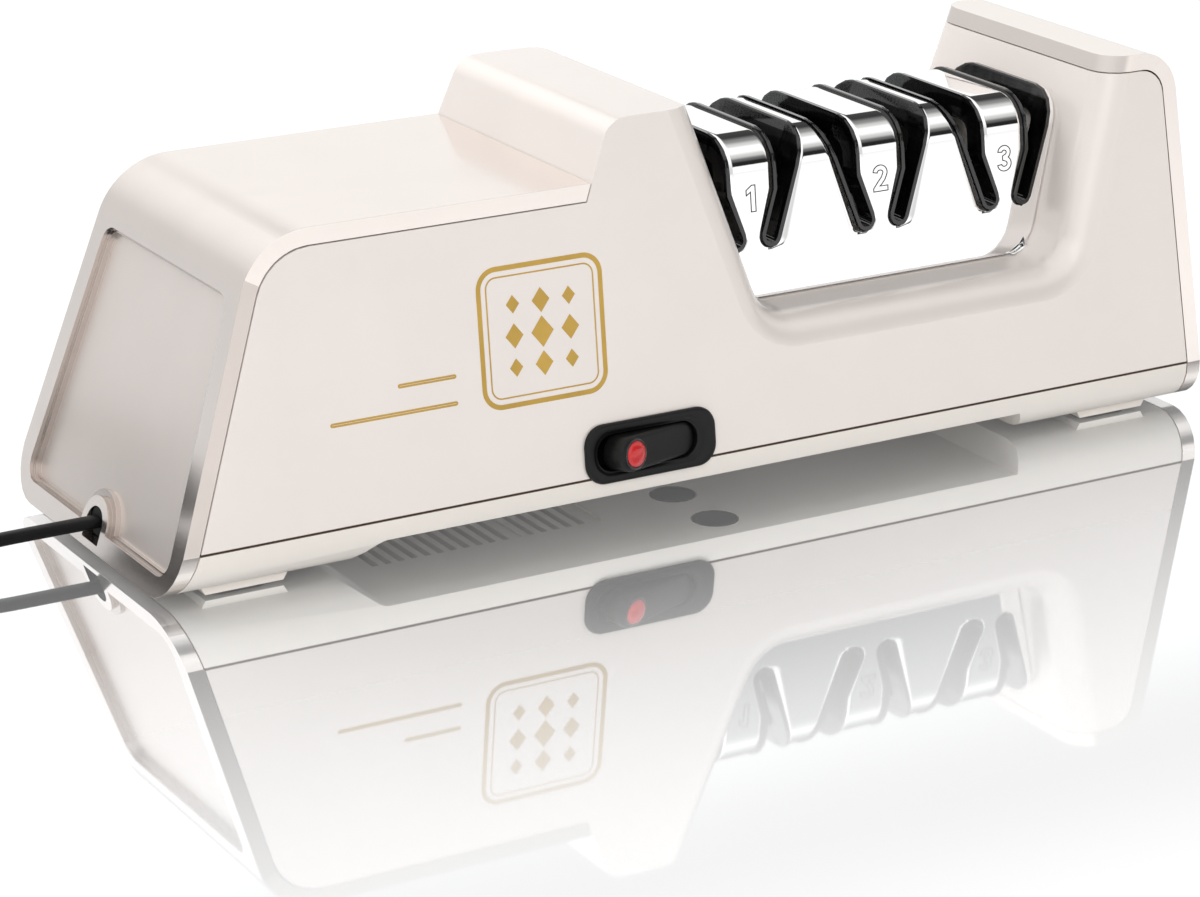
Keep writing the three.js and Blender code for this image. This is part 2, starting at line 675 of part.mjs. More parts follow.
function switchBezel() {
  const plate = alongZ(
    roundedRectangle(bezelX, 0, BEZEL_LENGTH, BEZEL_HEIGHT, BEZEL_RADIUS),
    SEAM,
    SEAM + BEZEL_PROUD,
  );
  const tub = alongZ(wellOutline(BEZEL_WALL), -WELL_DEPTH - WELL_FLOOR, SEAM + BEZEL_PROUD / 2);
  const well = alongZ(wellOutline(0), -WELL_DEPTH, OVERRUN);
  const bowl = alongZ(wellOutline(BOWL_MARGIN), SEAM + BEZEL_PROUD - BOWL_DEPTH, OVERRUN);
  return cut(join(solidFrom(plate), solidFrom(tub)), solidFrom(well), solidFrom(bowl));
}

// The rocker's own frame lies on its pivot, turned with it.
const rockerFrame = new THREE.Group();
rockerFrame.position.set(0, 0, -ROCKER_PIVOT_DEPTH);
rockerFrame.rotation.y = ROCKER_REST_ANGLE;

const lensX = LENS_INSET - ROCKER_LENGTH / 2;
const lensProfile = (radius) =>
  Array.from({ length: SMALL_SIDES }, (_, index) => {
    const angle = (index / SMALL_SIDES) * Math.PI * 2;
    return new THREE.Vector2(lensX + radius * Math.cos(angle), radius * Math.sin(angle));
  });

function rocker() {
  const round = ROCKER_HEIGHT / 2 - SEAM / 2;
  const face = roundedRectangle(0, 0, ROCKER_LENGTH, ROCKER_HEIGHT, round);
  const body = solidFrom(alongZ(face, -ROCKER_BACK, ROCKER_FACE));
  return cut(body, solidFrom(alongZ(lensProfile(LENS_RADIUS), ROCKER_FACE - LENS_POCKET, ROCKER_FACE + OVERRUN)));
}

function lens() {
  const radius = LENS_RADIUS - SEAM;
  const base = ROCKER_FACE - LENS_POCKET + SEAM;
  const profile = [new THREE.Vector2(0, base), new THREE.Vector2(radius, base)];
  for (let step = 0; step <= FINE_STEPS; step += 1) {
    const angle = (Math.PI / 2) * (step / FINE_STEPS);
    const across = step === FINE_STEPS ? 0 : radius * Math.cos(angle);
    profile.push(new THREE.Vector2(across, ROCKER_FACE + LENS_DOME * Math.sin(angle)));
  }
  return solidFrom(new THREE.LatheGeometry(profile, SMALL_SIDES).rotateX(Math.PI / 2).translate(lensX, 0, 0));
}

const switchBodyTop = -WELL_DEPTH - WELL_FLOOR - SEAM;

function switchBody() {
  const outlineOfBody = roundedRectangle(0, 0, SWITCH_BODY_LENGTH, SWITCH_BODY_HEIGHT, SEAM * 2, 2);
  return solidFrom(alongZ(outlineOfBody, switchBodyTop - SWITCH_BODY_DEPTH, switchBodyTop));
}

function switchTerminal(side) {
  const x = side * TERMINAL_SPREAD;
  const top = switchBodyTop - SWITCH_BODY_DEPTH - SEAM;
  const half = TERMINAL_THICKNESS / 2;
  return solidFrom(block(x - half, x + half, -TERMINAL_WIDTH / 2, TERMINAL_WIDTH / 2, top - TERMINAL_LENGTH, top));
}

function switchPassage() {
  const tub = alongZ(wellOutline(BEZEL_WALL + SEAM), -WELL_DEPTH - WELL_FLOOR - OVERRUN, OVERRUN);
  return solidFrom(tub.applyMatrix4(switchFrame.matrix));
}

// Upper housing

const screwBore = (x, y) => solidFrom(upright(BOSS_BORE_RADIUS, x, y, 0, BOSS_SPLIT_Z + OVERRUN));

const screwBoss = (x, y, from, to) => solidFrom(upright(BOSS_RADIUS, x, y, from, to));

// The screws stand over the middles of the feet and come up through them, under the pads.
const padY = (side) => side * (footOuterY - FOOT_DEPTH / 2);
const footPlaces = [motorFootX, farFootX].flatMap((x) => [-1, 1].map((side) => [x, side]));
const bossPlaces = footPlaces.map(([x, side]) => [x, padY(side)]);

function guideWindow() {
  const first = stages[0] - WHEEL_FACE_OFFSET - RELIEF;
  const last = stages.at(-1) + WHEEL_FACE_OFFSET + RELIEF;
  const half = Math.sqrt(WHEEL_RADIUS ** 2 - (SADDLE_FLOOR_Z - HOUSING_WALL - AXLE_Z) ** 2) + RELIEF;
  const wheels = block(first, last, -half, half, AXLE_Z, SADDLE_FLOOR_Z + SADDLE_CORNER_RADIUS / 2);
  const hubs = rod(HUB_RADIUS + RELIEF, stages[0] - HUB_FAR - RELIEF, stages.at(-1) + HUB_FAR + RELIEF);
  return join(solidFrom(wheels), solidFrom(hubs));
}

function mainHousing(saddle, passage) {
  const bottom = PARTING_Z + PARTING_GAP / 2;
  const skin = (inset, floor) =>
    solidFrom(alongY(housingOutline(inset, floor), -sideY, sideY)).intersect(
      solidFrom(alongX(bodySection(inset, floor < PARTING_Z ? PARTING_Z : floor, topZ), -BODY_LENGTH, BODY_LENGTH)),
    );
  const outer = skin(0, bottom).subtract(saddle);
  const cavity = skin(HOUSING_WALL, bottom)
    .subtract(saddleVoid(HOUSING_WALL));
  const mouthHalf = faceY(bottom) - HOUSING_WALL;
  const mouth = solidFrom(
    block(
      motorEndX(bottom) + SEAM + HOUSING_WALL * secant(MOTOR_END_LEAN_SHARE),
      farEndX(bottom) - SEAM - HOUSING_WALL * secant(FAR_END_LEAN_SHARE),
      -mouthHalf,
      mouthHalf,
      bottom - OVERRUN,
      bottom + PARTING_GAP,
    ),
  );
  const bosses = bossPlaces.map(([x, y]) => screwBoss(x, y, BOSS_SPLIT_Z + SEAM, CREST_Z).intersect(outer));
  const bores = bossPlaces.map(([x, y]) => screwBore(x, y));
  return cut(join(cut(outer, cavity, mouth), ...bosses), guideWindow(), passage, ...bores);
}

// Guide module: a bright sheet bent over the wheels, its slots lined by a black moulding

function guideSection(inset, bottom) {
  const halfAt = (z) => GUIDE_FOOT_HALF_DEPTH - FACE_LEAN_SHARE * (z - SADDLE_FLOOR_Z);
  const side = (z) => halfAt(z) - inset * secant(FACE_LEAN_SHARE);
  const top = GUIDE_TOP_Z - inset;
  const radius = GUIDE_TOP_RADIUS - inset;
  return outline(
    [
      [-side(bottom), bottom],
      [side(bottom), bottom],
      [side(top), top, radius],
      [-side(top), top, radius],
    ],
    FINE_STEPS,
  );
}

const guideSpan = (inset, bottom) =>
  solidFrom(alongX(guideSection(inset, bottom), -BODY_LENGTH / 2, BODY_LENGTH / 2));

// One slot from the front, in x and z: it leans away from its stage and opens at the top.
function slotOutline(stage, side, inset) {
  const radius = SLOT_OUTER_RADIUS - inset;
  const lean = Math.atan(SLOT_LEAN_SHARE);
  const island = SLOT_ISLAND_HALF + inset;
  const points = [];
  for (let step = 0; step <= CORNER_STEPS; step += 1) {
    const angle = -lean - (Math.PI * step) / CORNER_STEPS;
    points.push([SLOT_TIP_OFFSET + radius * Math.cos(angle), SLOT_TIP_Z + radius * Math.sin(angle)]);
  }
  const [outerX, outerZ] = points[0];
  const [innerX, innerZ] = points.at(-1);
  points.push([island, innerZ + (island - innerX) / SLOT_LEAN_SHARE], [island, topZ]);
  points.push([outerX + (topZ - outerZ) * SLOT_LEAN_SHARE, topZ]);
  return points.map(([across, z]) => new THREE.Vector2(stage + side * across, z));
}

const slotPlaces = stages.flatMap((stage) => [-1, 1].map((side) => [stage, side]));

function slots(inset) {
  const all = slotPlaces.map(([stage, side]) =>
    solidFrom(alongY(slotOutline(stage, side, inset), -sideY, sideY)),
  );
  return join(...all);
}

function guideCover() {
  const ends = solidFrom(alongY(saddleOutline(-SEAM), -sideY, sideY));
  const foot = SADDLE_FLOOR_Z + GUIDE_FOOT_GAP;
  const outer = guideSpan(0, foot).intersect(ends);
  const sheet = SEAM + GUIDE_SHEET;
  const roomX = stages[0] - WHEEL_FACE_OFFSET - END_FACE_DROP_X;
  const roomFarX = stages.at(-1) + WHEEL_FACE_OFFSET + END_FACE_DROP_X;
  const motorX = (z) => saddleMotorX(z) + sheet * secant(SADDLE_MOTOR_LEAN_SHARE);
  const farX = (z) => saddleFarX(z) - sheet * secant(SADDLE_FAR_LEAN_SHARE);
  const motorZ = SADDLE_FLOOR_Z + (motorX(SADDLE_FLOOR_Z) - roomX) / SADDLE_MOTOR_LEAN_SHARE;
  const farZ = SADDLE_FLOOR_Z + (roomFarX - farX(SADDLE_FLOOR_Z)) / SADDLE_FAR_LEAN_SHARE;
  const room = outline([
    [roomX, foot - OVERRUN],
    [roomFarX, foot - OVERRUN],
    [Math.min(roomFarX, farX(Math.max(farZ, foot))), Math.max(farZ, foot)],
    [farX(topZ), topZ],
    [motorX(topZ), topZ],
    [Math.max(roomX, motorX(Math.max(motorZ, foot))), Math.max(motorZ, foot)],
  ]);
  const inner = guideSpan(GUIDE_SHEET, foot - OVERRUN).intersect(solidFrom(alongY(room, -sideY, sideY)));
  return cut(outer, inner, slots(-RIM_FIT));
}

function guideInsert() {
  const ends = solidFrom(alongY(saddleOutline(-SEAM * 2 - GUIDE_SHEET), -sideY, sideY));
  const under = GUIDE_SHEET + SEAM;
  const tunnel = cut(guideSpan(under, INSERT_FOOT_Z), guideSpan(under + INSERT_SHEET, INSERT_FOOT_Z - OVERRUN));
  const liners = cut(guideSpan(-RIM_PROUD, INSERT_FOOT_Z), guideSpan(RIM_DEPTH, INSERT_FOOT_Z - OVERRUN));
  return cut(join(tunnel.intersect(ends), liners.intersect(slots(0))), slots(RIM_WIDTH));
}

// Base pan

function baseOutline(inset, top) {
  const motorX = (z) => motorEndX(z) + (SEAM + inset) * secant(MOTOR_END_LEAN_SHARE);
  const farX = (z) => farEndX(z) - (SEAM + inset) * secant(FAR_END_LEAN_SHARE);
  const low = UNDERSIDE_Z + inset;
  const high = RECESS_Z + inset;
  const round = RECESS_CORNER_RADIUS;
  return outline(
    [
      [motorX(top), top],
      [motorX(low), low],
      [recessStartX - inset, low, round],
      [recessStartX + RECESS_RAMP - inset, high, round],
      [recessStopX + inset, high],
      [recessStopX + RECESS_STOP_RAMP + inset, low],
      [farX(low), low],
      [farX(top), top],
    ],
    FINE_STEPS,
  );
}

function foot(x, side) {
  const flare = [
    [x - FOOT_LENGTH / 2, FOOT_Z],
    [x + FOOT_LENGTH / 2, FOOT_Z],
    [x + FOOT_LENGTH / 2 + FOOT_FLARE, UNDERSIDE_Z + BASE_WALL],
    [x - FOOT_LENGTH / 2 - FOOT_FLARE, UNDERSIDE_Z + BASE_WALL],
  ].map(([across, up]) => new THREE.Vector2(across, up));
  const from = side < 0 ? -footOuterY : footOuterY - FOOT_DEPTH;
  return solidFrom(alongY(flare, from, from + FOOT_DEPTH));
}

function footPad(x, side, grow, height) {
  const pad = roundedRectangle(x, padY(side), PAD_LENGTH + grow * 2, PAD_DEPTH + grow * 2, PAD_RADIUS + grow, 2);
  return solidFrom(alongZ(pad, grow > 0 ? -OVERRUN : 0, height));
}

function ventilation() {
  const half = VENT_LENGTH / 2;
  const lastX = ventFirstX + VENT_PITCH * (VENT_COUNT - 1) + VENT_WIDTH;
  const length = lastX - ventFirstX + VENT_PANEL_MARGIN * 2;
  const width = VENT_LENGTH + VENT_PANEL_MARGIN * 2;
  const middle = (ventFirstX + lastX) / 2;
  const panelOutlineXY = roundedRectangle(middle, 0, length, width, VENT_PANEL_RADIUS);
  const panel = solidFrom(alongZ(panelOutlineXY, UNDERSIDE_Z, RECESS_Z + VENT_PANEL_DEPTH));
  const cuts = Array.from({ length: VENT_COUNT }, (_, index) => {
    const x = ventFirstX + VENT_PITCH * index;
    return solidFrom(block(x, x + VENT_WIDTH, -half, half, UNDERSIDE_Z, RECESS_Z + OVERRUN));
  });
  return join(panel, ...cuts);
}

function cradle(x) {
  const floor = RECESS_Z + BASE_WALL / 2;
  const rib = block(x, x + CRADLE_THICKNESS, -cradleHalfDepth, cradleHalfDepth, floor, CRADLE_TOP_Z);
  const seat = rod(MOTOR_RADIUS + SEAM, x - OVERRUN, x + CRADLE_THICKNESS + OVERRUN, ROUND_SIDES);
  return cut(solidFrom(rib), solidFrom(seat));
}

function boardPost(side) {
  const x = boardX + side * (BOARD_LENGTH / 2 + POST_WIDTH / 2 - POST_GRIP);
  const floor = RECESS_Z + BASE_WALL / 2;
  const half = POST_DEPTH / 2;
  const post = block(x - POST_WIDTH / 2, x + POST_WIDTH / 2, boardY - half, boardY + half, floor, floor + POST_HEIGHT);
  const slot = block(
    boardX - BOARD_LENGTH / 2 - SEAM,
    boardX + BOARD_LENGTH / 2 + SEAM,
    boardY - BOARD_THICKNESS / 2 - SEAM,
    boardY + BOARD_THICKNESS / 2 + SEAM,
    RECESS_Z + BASE_WALL,
    floor + POST_HEIGHT + OVERRUN,
  );
  return cut(solidFrom(post), solidFrom(slot));
}

const plugPlaces = [plugDiscFrontY, PLUG_DISC_MIDDLE_Y];

function basePan(passage) {
  const top = PARTING_Z - PARTING_GAP / 2;
  const length = BODY_LENGTH;
  const section = (inset, ceiling) => solidFrom(alongX(bodySection(inset, UNDERSIDE_Z + inset, ceiling), -length, length));
  const outer = solidFrom(alongY(baseOutline(0, top), -sideY, sideY)).intersect(section(0, top + OVERRUN));
  const innerTop = top + OVERRUN;
  const inner = solidFrom(alongY(baseOutline(BASE_WALL, innerTop), -sideY, sideY)).intersect(
    section(BASE_WALL, innerTop + OVERRUN),
  );
  const feet = footPlaces.map(([x, side]) => foot(x, side));
  const pads = footPlaces.map(([x, side]) => footPad(x, side, SEAM, PAD_HEIGHT + SEAM));
  const shell = cut(join(outer, ...feet), inner, ...pads, ventilation());
  const bosses = bossPlaces.map(([x, y]) => screwBoss(x, y, UNDERSIDE_Z + BASE_WALL / 2, BOSS_SPLIT_Z));
  const seats = plugPlaces.map((y) => {
    const depth = PLUG_DISC_THICKNESS + SEAM;
    return solidFrom(upright(PLUG_DISC_RADIUS + SEAM, plugDiscX, y, UNDERSIDE_Z, RECESS_Z + depth));
  });
  const fittings = [cradle(cradleMotorX), cradle(cradleFarX), boardPost(-1), boardPost(1)];
  const bores = bossPlaces.map(([x, y]) => screwBore(x, y));
  return cut(join(shell, ...bosses, ...fittings), cordHole, passage, ...seats, ...bores);
}

// Drive: motor, fan, coupling and spindle on one line

const endBellX = motorX - SEAM - END_BELL_LENGTH;
const shaftX = endBellX - SHAFT_TAIL;
const couplingX = couplingFarX - COUPLING_LENGTH;
const couplingMiddleX = couplingX + COUPLING_LENGTH / 2;
const shaftBore = SHAFT_RADIUS + RUN_CLEARANCE;
const spindleBore = SPINDLE_RADIUS + RUN_CLEARANCE;

function motorCan() {
  return turned([
    [shaftBore, motorX],
    [MOTOR_RADIUS, motorX],
    [MOTOR_RADIUS, motorFarX],
    [MOTOR_NOSE_RADIUS, motorFarX],
    [MOTOR_NOSE_RADIUS, motorFarX + MOTOR_NOSE_LENGTH],
    [shaftBore, motorFarX + MOTOR_NOSE_LENGTH],
  ]);
}

function endBell() {
  const radius = END_BELL_RADIUS;
  return turned([
    [shaftBore, endBellX],
    [MOTOR_NOSE_RADIUS, endBellX],
    [radius - MOTOR_NOSE_LENGTH, endBellX + MOTOR_NOSE_LENGTH],
    [radius, endBellX + MOTOR_NOSE_LENGTH * 2],
    [radius, endBellX + END_BELL_LENGTH],
    [shaftBore, endBellX + END_BELL_LENGTH],
  ]);
}

function motorClamp() {
  const from = clampX + (CRADLE_THICKNESS - CLAMP_WIDTH) / 2;
  const inner = MOTOR_RADIUS + SEAM;
  const outer = inner + CLAMP_THICKNESS;
  const seat = CRADLE_TOP_Z + SEAM;
  const half = outer + CLAMP_FLANGE;
  const hoop = solidFrom(rod(outer, from, from + CLAMP_WIDTH, ROUND_SIDES));
  const flange = solidFrom(block(from, from + CLAMP_WIDTH, -half, half, seat, seat + CLAMP_THICKNESS));
  const below = solidFrom(block(from - OVERRUN, from + CLAMP_WIDTH + OVERRUN, -half * 2, half * 2, 0, seat));
  const bore = solidFrom(rod(inner, from - OVERRUN, from + CLAMP_WIDTH + OVERRUN, ROUND_SIDES));
  return cut(join(hoop, flange), below, bore);
}

function coolingFan() {
  const far = endBellX - FAN_GAP;
  const near = far - FAN_LENGTH;
  const middle = (near + far) / 2;
  const hub = solidFrom(rod(FAN_HUB_RADIUS, near, far));
  const half = FAN_BLADE_THICKNESS / 2;
  const width = (FAN_LENGTH - FAN_BLADE_THICKNESS) / 2;
  const blades = Array.from({ length: FAN_BLADE_COUNT }, (_, index) => {
    const blade = block(-width, width, -half, half, FAN_HUB_RADIUS / 2, FAN_RADIUS);
    blade.rotateZ(FAN_BLADE_PITCH).rotateX((index / FAN_BLADE_COUNT) * Math.PI * 2);
    return solidFrom(blade.translate(middle, 0, AXLE_Z));
  });
  return cut(join(hub, ...blades), solidFrom(rod(shaftBore, near - OVERRUN, far + OVERRUN)));
}

function coupling() {
  return turned(
    [
      [shaftBore, couplingX],
      [COUPLING_RADIUS, couplingX],
      [COUPLING_RADIUS, couplingFarX],
      [spindleBore, couplingFarX],
      [spindleBore, couplingMiddleX],
      [shaftBore, couplingMiddleX],
    ],
    SMALL_SIDES,
  );
}

function spindle() {
  const profile = [
    [0, couplingMiddleX + SEAM / 2],
    [SPINDLE_RADIUS, couplingMiddleX + SEAM / 2],
  ];
  for (const stage of stages) {
    profile.push([SPINDLE_RADIUS, stage - COLLAR_HALF], [COLLAR_RADIUS, stage - COLLAR_HALF]);
    profile.push([COLLAR_RADIUS, stage + COLLAR_HALF], [SPINDLE_RADIUS, stage + COLLAR_HALF]);
  }
  profile.push([SPINDLE_RADIUS, spindleFarX], [0, spindleFarX]);
  return turned(profile, RING_SIDES);
}

function ring(bore, radius, from, to, sides = RING_SIDES) {
  return turned(
    [
      [bore, from],
      [radius, from],
      [radius, to],
      [bore, to],
    ],
    sides,
  );
}

function bearing(x) {
  return ring(spindleBore, BEARING_RADIUS, x - BEARING_WIDTH / 2, x + BEARING_WIDTH / 2);
}

function bearingBracket(x, floor, toward) {
  const half = BRACKET_WIDTH / 2;
  const top = AXLE_Z + BRACKET_HEAD_RADIUS;
  const near = x - BRACKET_THICKNESS / 2;
  const plate = outline(
    [
      [-half, floor],
      [half, floor],
      [BRACKET_HEAD_RADIUS, top, BRACKET_HEAD_RADIUS - SEAM],
      [-BRACKET_HEAD_RADIUS, top, BRACKET_HEAD_RADIUS - SEAM],
    ],
    CORNER_STEPS,
  );
  const footFrom = toward < 0 ? near - BRACKET_FOOT : near;
  const base = block(footFrom, footFrom + BRACKET_FOOT + BRACKET_THICKNESS, -half, half, floor, floor + BRACKET_FOOT_HEIGHT);
  const bore = rod(BEARING_RADIUS + SEAM, near - OVERRUN, near + BRACKET_THICKNESS + OVERRUN);
  return cut(join(solidFrom(alongX(plate, near, near + BRACKET_THICKNESS)), solidFrom(base)), solidFrom(bore));
}

// A wheel faces away from its stage; side tells which way.
function wheel(stage, side) {
  const inner = WHEEL_FACE_OFFSET - WHEEL_THICKNESS;
  const profile = [
    [spindleBore, HUB_NEAR + HUB_POCKET_DEPTH],
    [HUB_POCKET_RADIUS, HUB_NEAR + HUB_POCKET_DEPTH],
    [HUB_POCKET_RADIUS, HUB_NEAR],
    [HUB_RADIUS, HUB_NEAR],
    [HUB_RADIUS, inner],
    [WHEEL_RADIUS, inner],
    [WHEEL_RADIUS, WHEEL_FACE_OFFSET - WHEEL_CONE],
    [HUB_RADIUS, WHEEL_FACE_OFFSET],
    [HUB_RADIUS, HUB_FAR],
    [spindleBore, HUB_FAR],
  ].map(([radius, along]) => [radius, stage + side * along]);
  return turned(profile);
}

function spring(stage, side) {
  const from = COLLAR_HALF + SEAM + SPRING_WIRE_RADIUS;
  const to = HUB_NEAR + HUB_POCKET_DEPTH - SEAM - SPRING_WIRE_RADIUS;
  const count = SPRING_CURLS * CURL_STEPS;
  const rings = [];
  for (let step = 0; step <= count; step += 1) {
    const angle = (step / CURL_STEPS) * Math.PI * 2;
    const along = from + ((to - from) * step) / count;
    const loop = [];
    for (let index = 0; index < WIRE_SIDES; index += 1) {
      const around = (index / WIRE_SIDES) * Math.PI * 2;
      const radius = SPRING_MEAN_RADIUS + SPRING_WIRE_RADIUS * Math.cos(around);
      const x = stage + side * (along + SPRING_WIRE_RADIUS * Math.sin(around));
      loop.push(new THREE.Vector3(x, radius * Math.cos(angle), AXLE_Z + radius * Math.sin(angle)));
    }
    rings.push(side > 0 ? loop.toReversed() : loop);
  }
  const cap = Array.from({ length: WIRE_SIDES }, (_, index) => {
    const around = ((side > 0 ? -index : index) / WIRE_SIDES) * Math.PI * 2;
    return new THREE.Vector2(Math.cos(around), Math.sin(around));
  });
  return outward(closedLoft(rings, side > 0 ? cap.toReversed() : cap));
}

function outward(geometry) {
  const solid = solidFrom(geometry);
  if (solid.volume() > 0) return geometry;
  geometry.setIndex([...geometry.index.array].toReversed());
  return geometry;
}

// Circuit board

const boardFloor = RECESS_Z + BASE_WALL + SEAM;

function circuitBoard() {
  const half = BOARD_THICKNESS / 2;
  const reach = BOARD_LENGTH / 2;
  return block(boardX - reach, boardX + reach, boardY - half, boardY + half, boardFloor, boardFloor + BOARD_HEIGHT);
}

function capacitor() {
  const face = boardY - BOARD_THICKNESS / 2 - SEAM;
  const x = boardX - CAPACITOR_LENGTH / 2;
  const low = boardFloor + CAPACITOR_RISE;
  return block(x, x + CAPACITOR_LENGTH, face - CAPACITOR_DEPTH, face, low, low + CAPACITOR_HEIGHT);
}

function rectifier() {
  const face = boardY + BOARD_THICKNESS / 2 + SEAM;
  const x = boardX - RECTIFIER_SIZE / 2;
  const low = boardFloor + RECTIFIER_RISE;
  return block(x, x + RECTIFIER_SIZE, face, face + RECTIFIER_DEPTH, low, low + RECTIFIER_SIZE);
}

// Cord: a flat lead that leaves the motor end level, comes down and lies coiled on the surface

const grommetX = motorEndX(CORD_Z) - WRAP_THICKNESS + GROMMET_INSET;
const cordLowZ = CORD_HEIGHT / 2;
const sweepTurns = LAYER_TURNS + 1 / 2;
const coilTurns = COIL_LAYERS * sweepTurns - 3 / 4;

// The run's points [x, y, z], chosen along its fall from the gland to the coil.
const CORD_ROUTE = [
  [-139.81, 0, 7.7],
  [-146, 0, 7.7],
  [-152, 0, 7.7],
  [-158, 0, 7.7],
  [-163, 0, 7.65],
  [-168, 0, 7.35],
  [-173, 0, 6.3],
  [-178, 0, 4.7],
  [-183, 0, 3.2],
  [-188, 0, 2.1],
  [-193, 0, 1.5],
  [-199.7, 0, 1.3],
];

function grommet() {
  const wallX = endWallX(PARTING_Z) + SEAM;
  const far = wallX + GROMMET_TAIL;
  const neck = solidFrom(alongX(cordHoleOutline(SEAM), grommetX, far));
  const flange = solidFrom(alongX(cordHoleOutline(-GROMMET_FLANGE), wallX, far));
  const floor = UNDERSIDE_Z + BASE_WALL + SEAM;
  const below = solidFrom(block(wallX - SEAM, far + OVERRUN, -BODY_DEPTH, BODY_DEPTH, -OVERRUN, floor));
  return cut(join(neck, flange), below);
}

// A six-sided flat section whose wide side stays level; heading is a unit vector in x and y.
function cordRing(centre, heading) {
  const wide = CORD_WIDTH / 2;
  const high = CORD_HEIGHT / 2;
  const shoulder = wide - high / 2;
  const section = [
    [wide, 0],
    [shoulder, high],
    [-shoulder, high],
    [-wide, 0],
    [-shoulder, -high],
    [shoulder, -high],
  ];
  return section.map(
    ([across, up]) =>
      new THREE.Vector3(centre.x - heading.y * across, centre.y + heading.x * across, centre.z + up),
  );
}

const cordCap = [
  [1, 0],
  [0.5, 1],
  [-0.5, 1],
  [-1, 0],
  [-0.5, -1],
  [0.5, -1],
].map(([across, up]) => new THREE.Vector2(across, up));

function cordAlong(centres, headings) {
  const rings = centres.map((centre, index) => cordRing(centre, headings[index]));
  return outward(closedLoft(rings, cordCap));
}

function cordRun() {
  const centres = CORD_ROUTE.map((point) => new THREE.Vector3(...point));
  const headings = centres.map(() => new THREE.Vector2(-1, 0));
  return cordAlong(centres, headings);
}

// Radius after so many turns: the spiral sweeps in and out at a steady rate, half a turn past each layer's turns.
function coilRadius(turns) {
  const sweeps = (turns + 1 / 4) / sweepTurns;
  return COIL_INNER_RADIUS + COIL_PITCH * sweepTurns * Math.abs(1 - (sweeps % 2));
}

// Place on the coil after so many turns: it climbs a layer wherever the spiral reverses.
function coilPlace(turns) {
  let climb = 0;
  for (let layer = 1; layer < COIL_LAYERS; layer += 1) {
    const reversal = layer * sweepTurns - 1 / 4;
    climb += THREE.MathUtils.smoothstep(turns, reversal - CLIMB_SHARE, reversal + CLIMB_SHARE);
  }
  const angle = -Math.PI / 2 - turns * Math.PI * 2;
  const radius = coilRadius(turns);
  return new THREE.Vector3(
    COIL_X + radius * Math.cos(angle),
    coilRadius(0) + radius * Math.sin(angle),
    cordLowZ + COIL_LAYER * climb,
  );
}

const coilSteps = Math.round(coilTurns * LOOP_STEPS);
const coilShares = Array.from({ length: coilSteps + 1 }, (_, step) => step / coilSteps);
const coilCentres = () => coilShares.map((share) => coilPlace(coilTurns * share));

function coilHeadings() {
  return coilShares.map((share) => {
    const angle = -coilTurns * share * Math.PI * 2;
    return new THREE.Vector2(-Math.cos(angle), -Math.sin(angle));
  });
}

const cordCoil = () => cordAlong(coilCentres(), coilHeadings());

const tailStart = coilPlace(coilTurns);
const tailEndX = tailStart.x + TAIL_RADIUS;
const plugY = tailStart.y + TAIL_RADIUS;
const plugFloor = tailStart.z + CORD_HEIGHT / 2 + SEAM;
const plugZ = plugFloor + PLUG_HEIGHT / 2;

// The tail turns a quarter circle inwards and climbs over the coil to the plug, which lies on it.
function cordTail() {
  const count = CORNER_STEPS * 2;
  const start = SEAM / TAIL_RADIUS;
  const stop = Math.PI / 2;
  const angles = Array.from({ length: count + 1 }, (_, step) => THREE.MathUtils.lerp(start, stop, step / count));
  const centres = angles.map((angle) => {
    const x = tailStart.x + TAIL_RADIUS * (1 - Math.cos(angle));
    const y = tailStart.y + TAIL_RADIUS * Math.sin(angle);
    const z = THREE.MathUtils.lerp(tailStart.z, plugZ, THREE.MathUtils.smoothstep(angle, start, stop));
    return new THREE.Vector3(x, y, z);
  });
  return cordAlong(centres, angles.map((angle) => new THREE.Vector2(Math.sin(angle), Math.cos(angle))));
}

function plugBody() {
  const x0 = tailEndX + SEAM;
  const x1 = x0 + PLUG_LENGTH;
  const y = plugY;
  const nose = PLUG_NOSE_WIDTH / 2;
  const half = PLUG_WIDTH / 2;
  const plan = outline(
    [
      [x0, y - nose, PLUG_RADIUS / 2],
      [x1 - PLUG_LENGTH / 2, y - half, PLUG_RADIUS],
      [x1, y - half, PLUG_RADIUS / 2],
      [x1, y + half, PLUG_RADIUS / 2],
      [x1 - PLUG_LENGTH / 2, y + half, PLUG_RADIUS],
      [x0, y + nose, PLUG_RADIUS / 2],
    ],
    FINE_STEPS,
  );
  const end = roundedRectangle(y, plugZ, PLUG_WIDTH, PLUG_HEIGHT, PLUG_RADIUS);
  const body = solidFrom(alongZ(plan, plugFloor, plugFloor + PLUG_HEIGHT));
  return body.intersect(solidFrom(alongX(end, x0 - OVERRUN, x1 + OVERRUN)));
}

function plugBlade(side) {
  const x = tailEndX + SEAM * 2 + PLUG_LENGTH;
  const y = plugY + side * BLADE_SPREAD;
  const half = BLADE_THICKNESS / 2;
  return block(x, x + BLADE_LENGTH, y - half, y + half, plugZ - BLADE_HEIGHT / 2, plugZ + BLADE_HEIGHT / 2);
}

// Least gap between turns of a wound tube, measured between points of turns that lie side by side.
function leastGap(rings, stepsPerTurn) {
  let least = Infinity;
  for (let first = 0; first < rings.length; first += 1) {
    for (let second = first + Math.ceil(stepsPerTurn / 2); second < rings.length; second += 1) {
      for (const a of rings[first]) {
        for (const b of rings[second]) least = Math.min(least, a.distanceTo(b));
      }
    }
  }
  return least;
}

// Assembly

const saddle = saddleVoid(0);
const passage = switchPassage();
const onBody = new THREE.Group();
const switchGroup = switchFrame;
switchGroup.add(rockerFrame);
onBody.add(switchGroup);

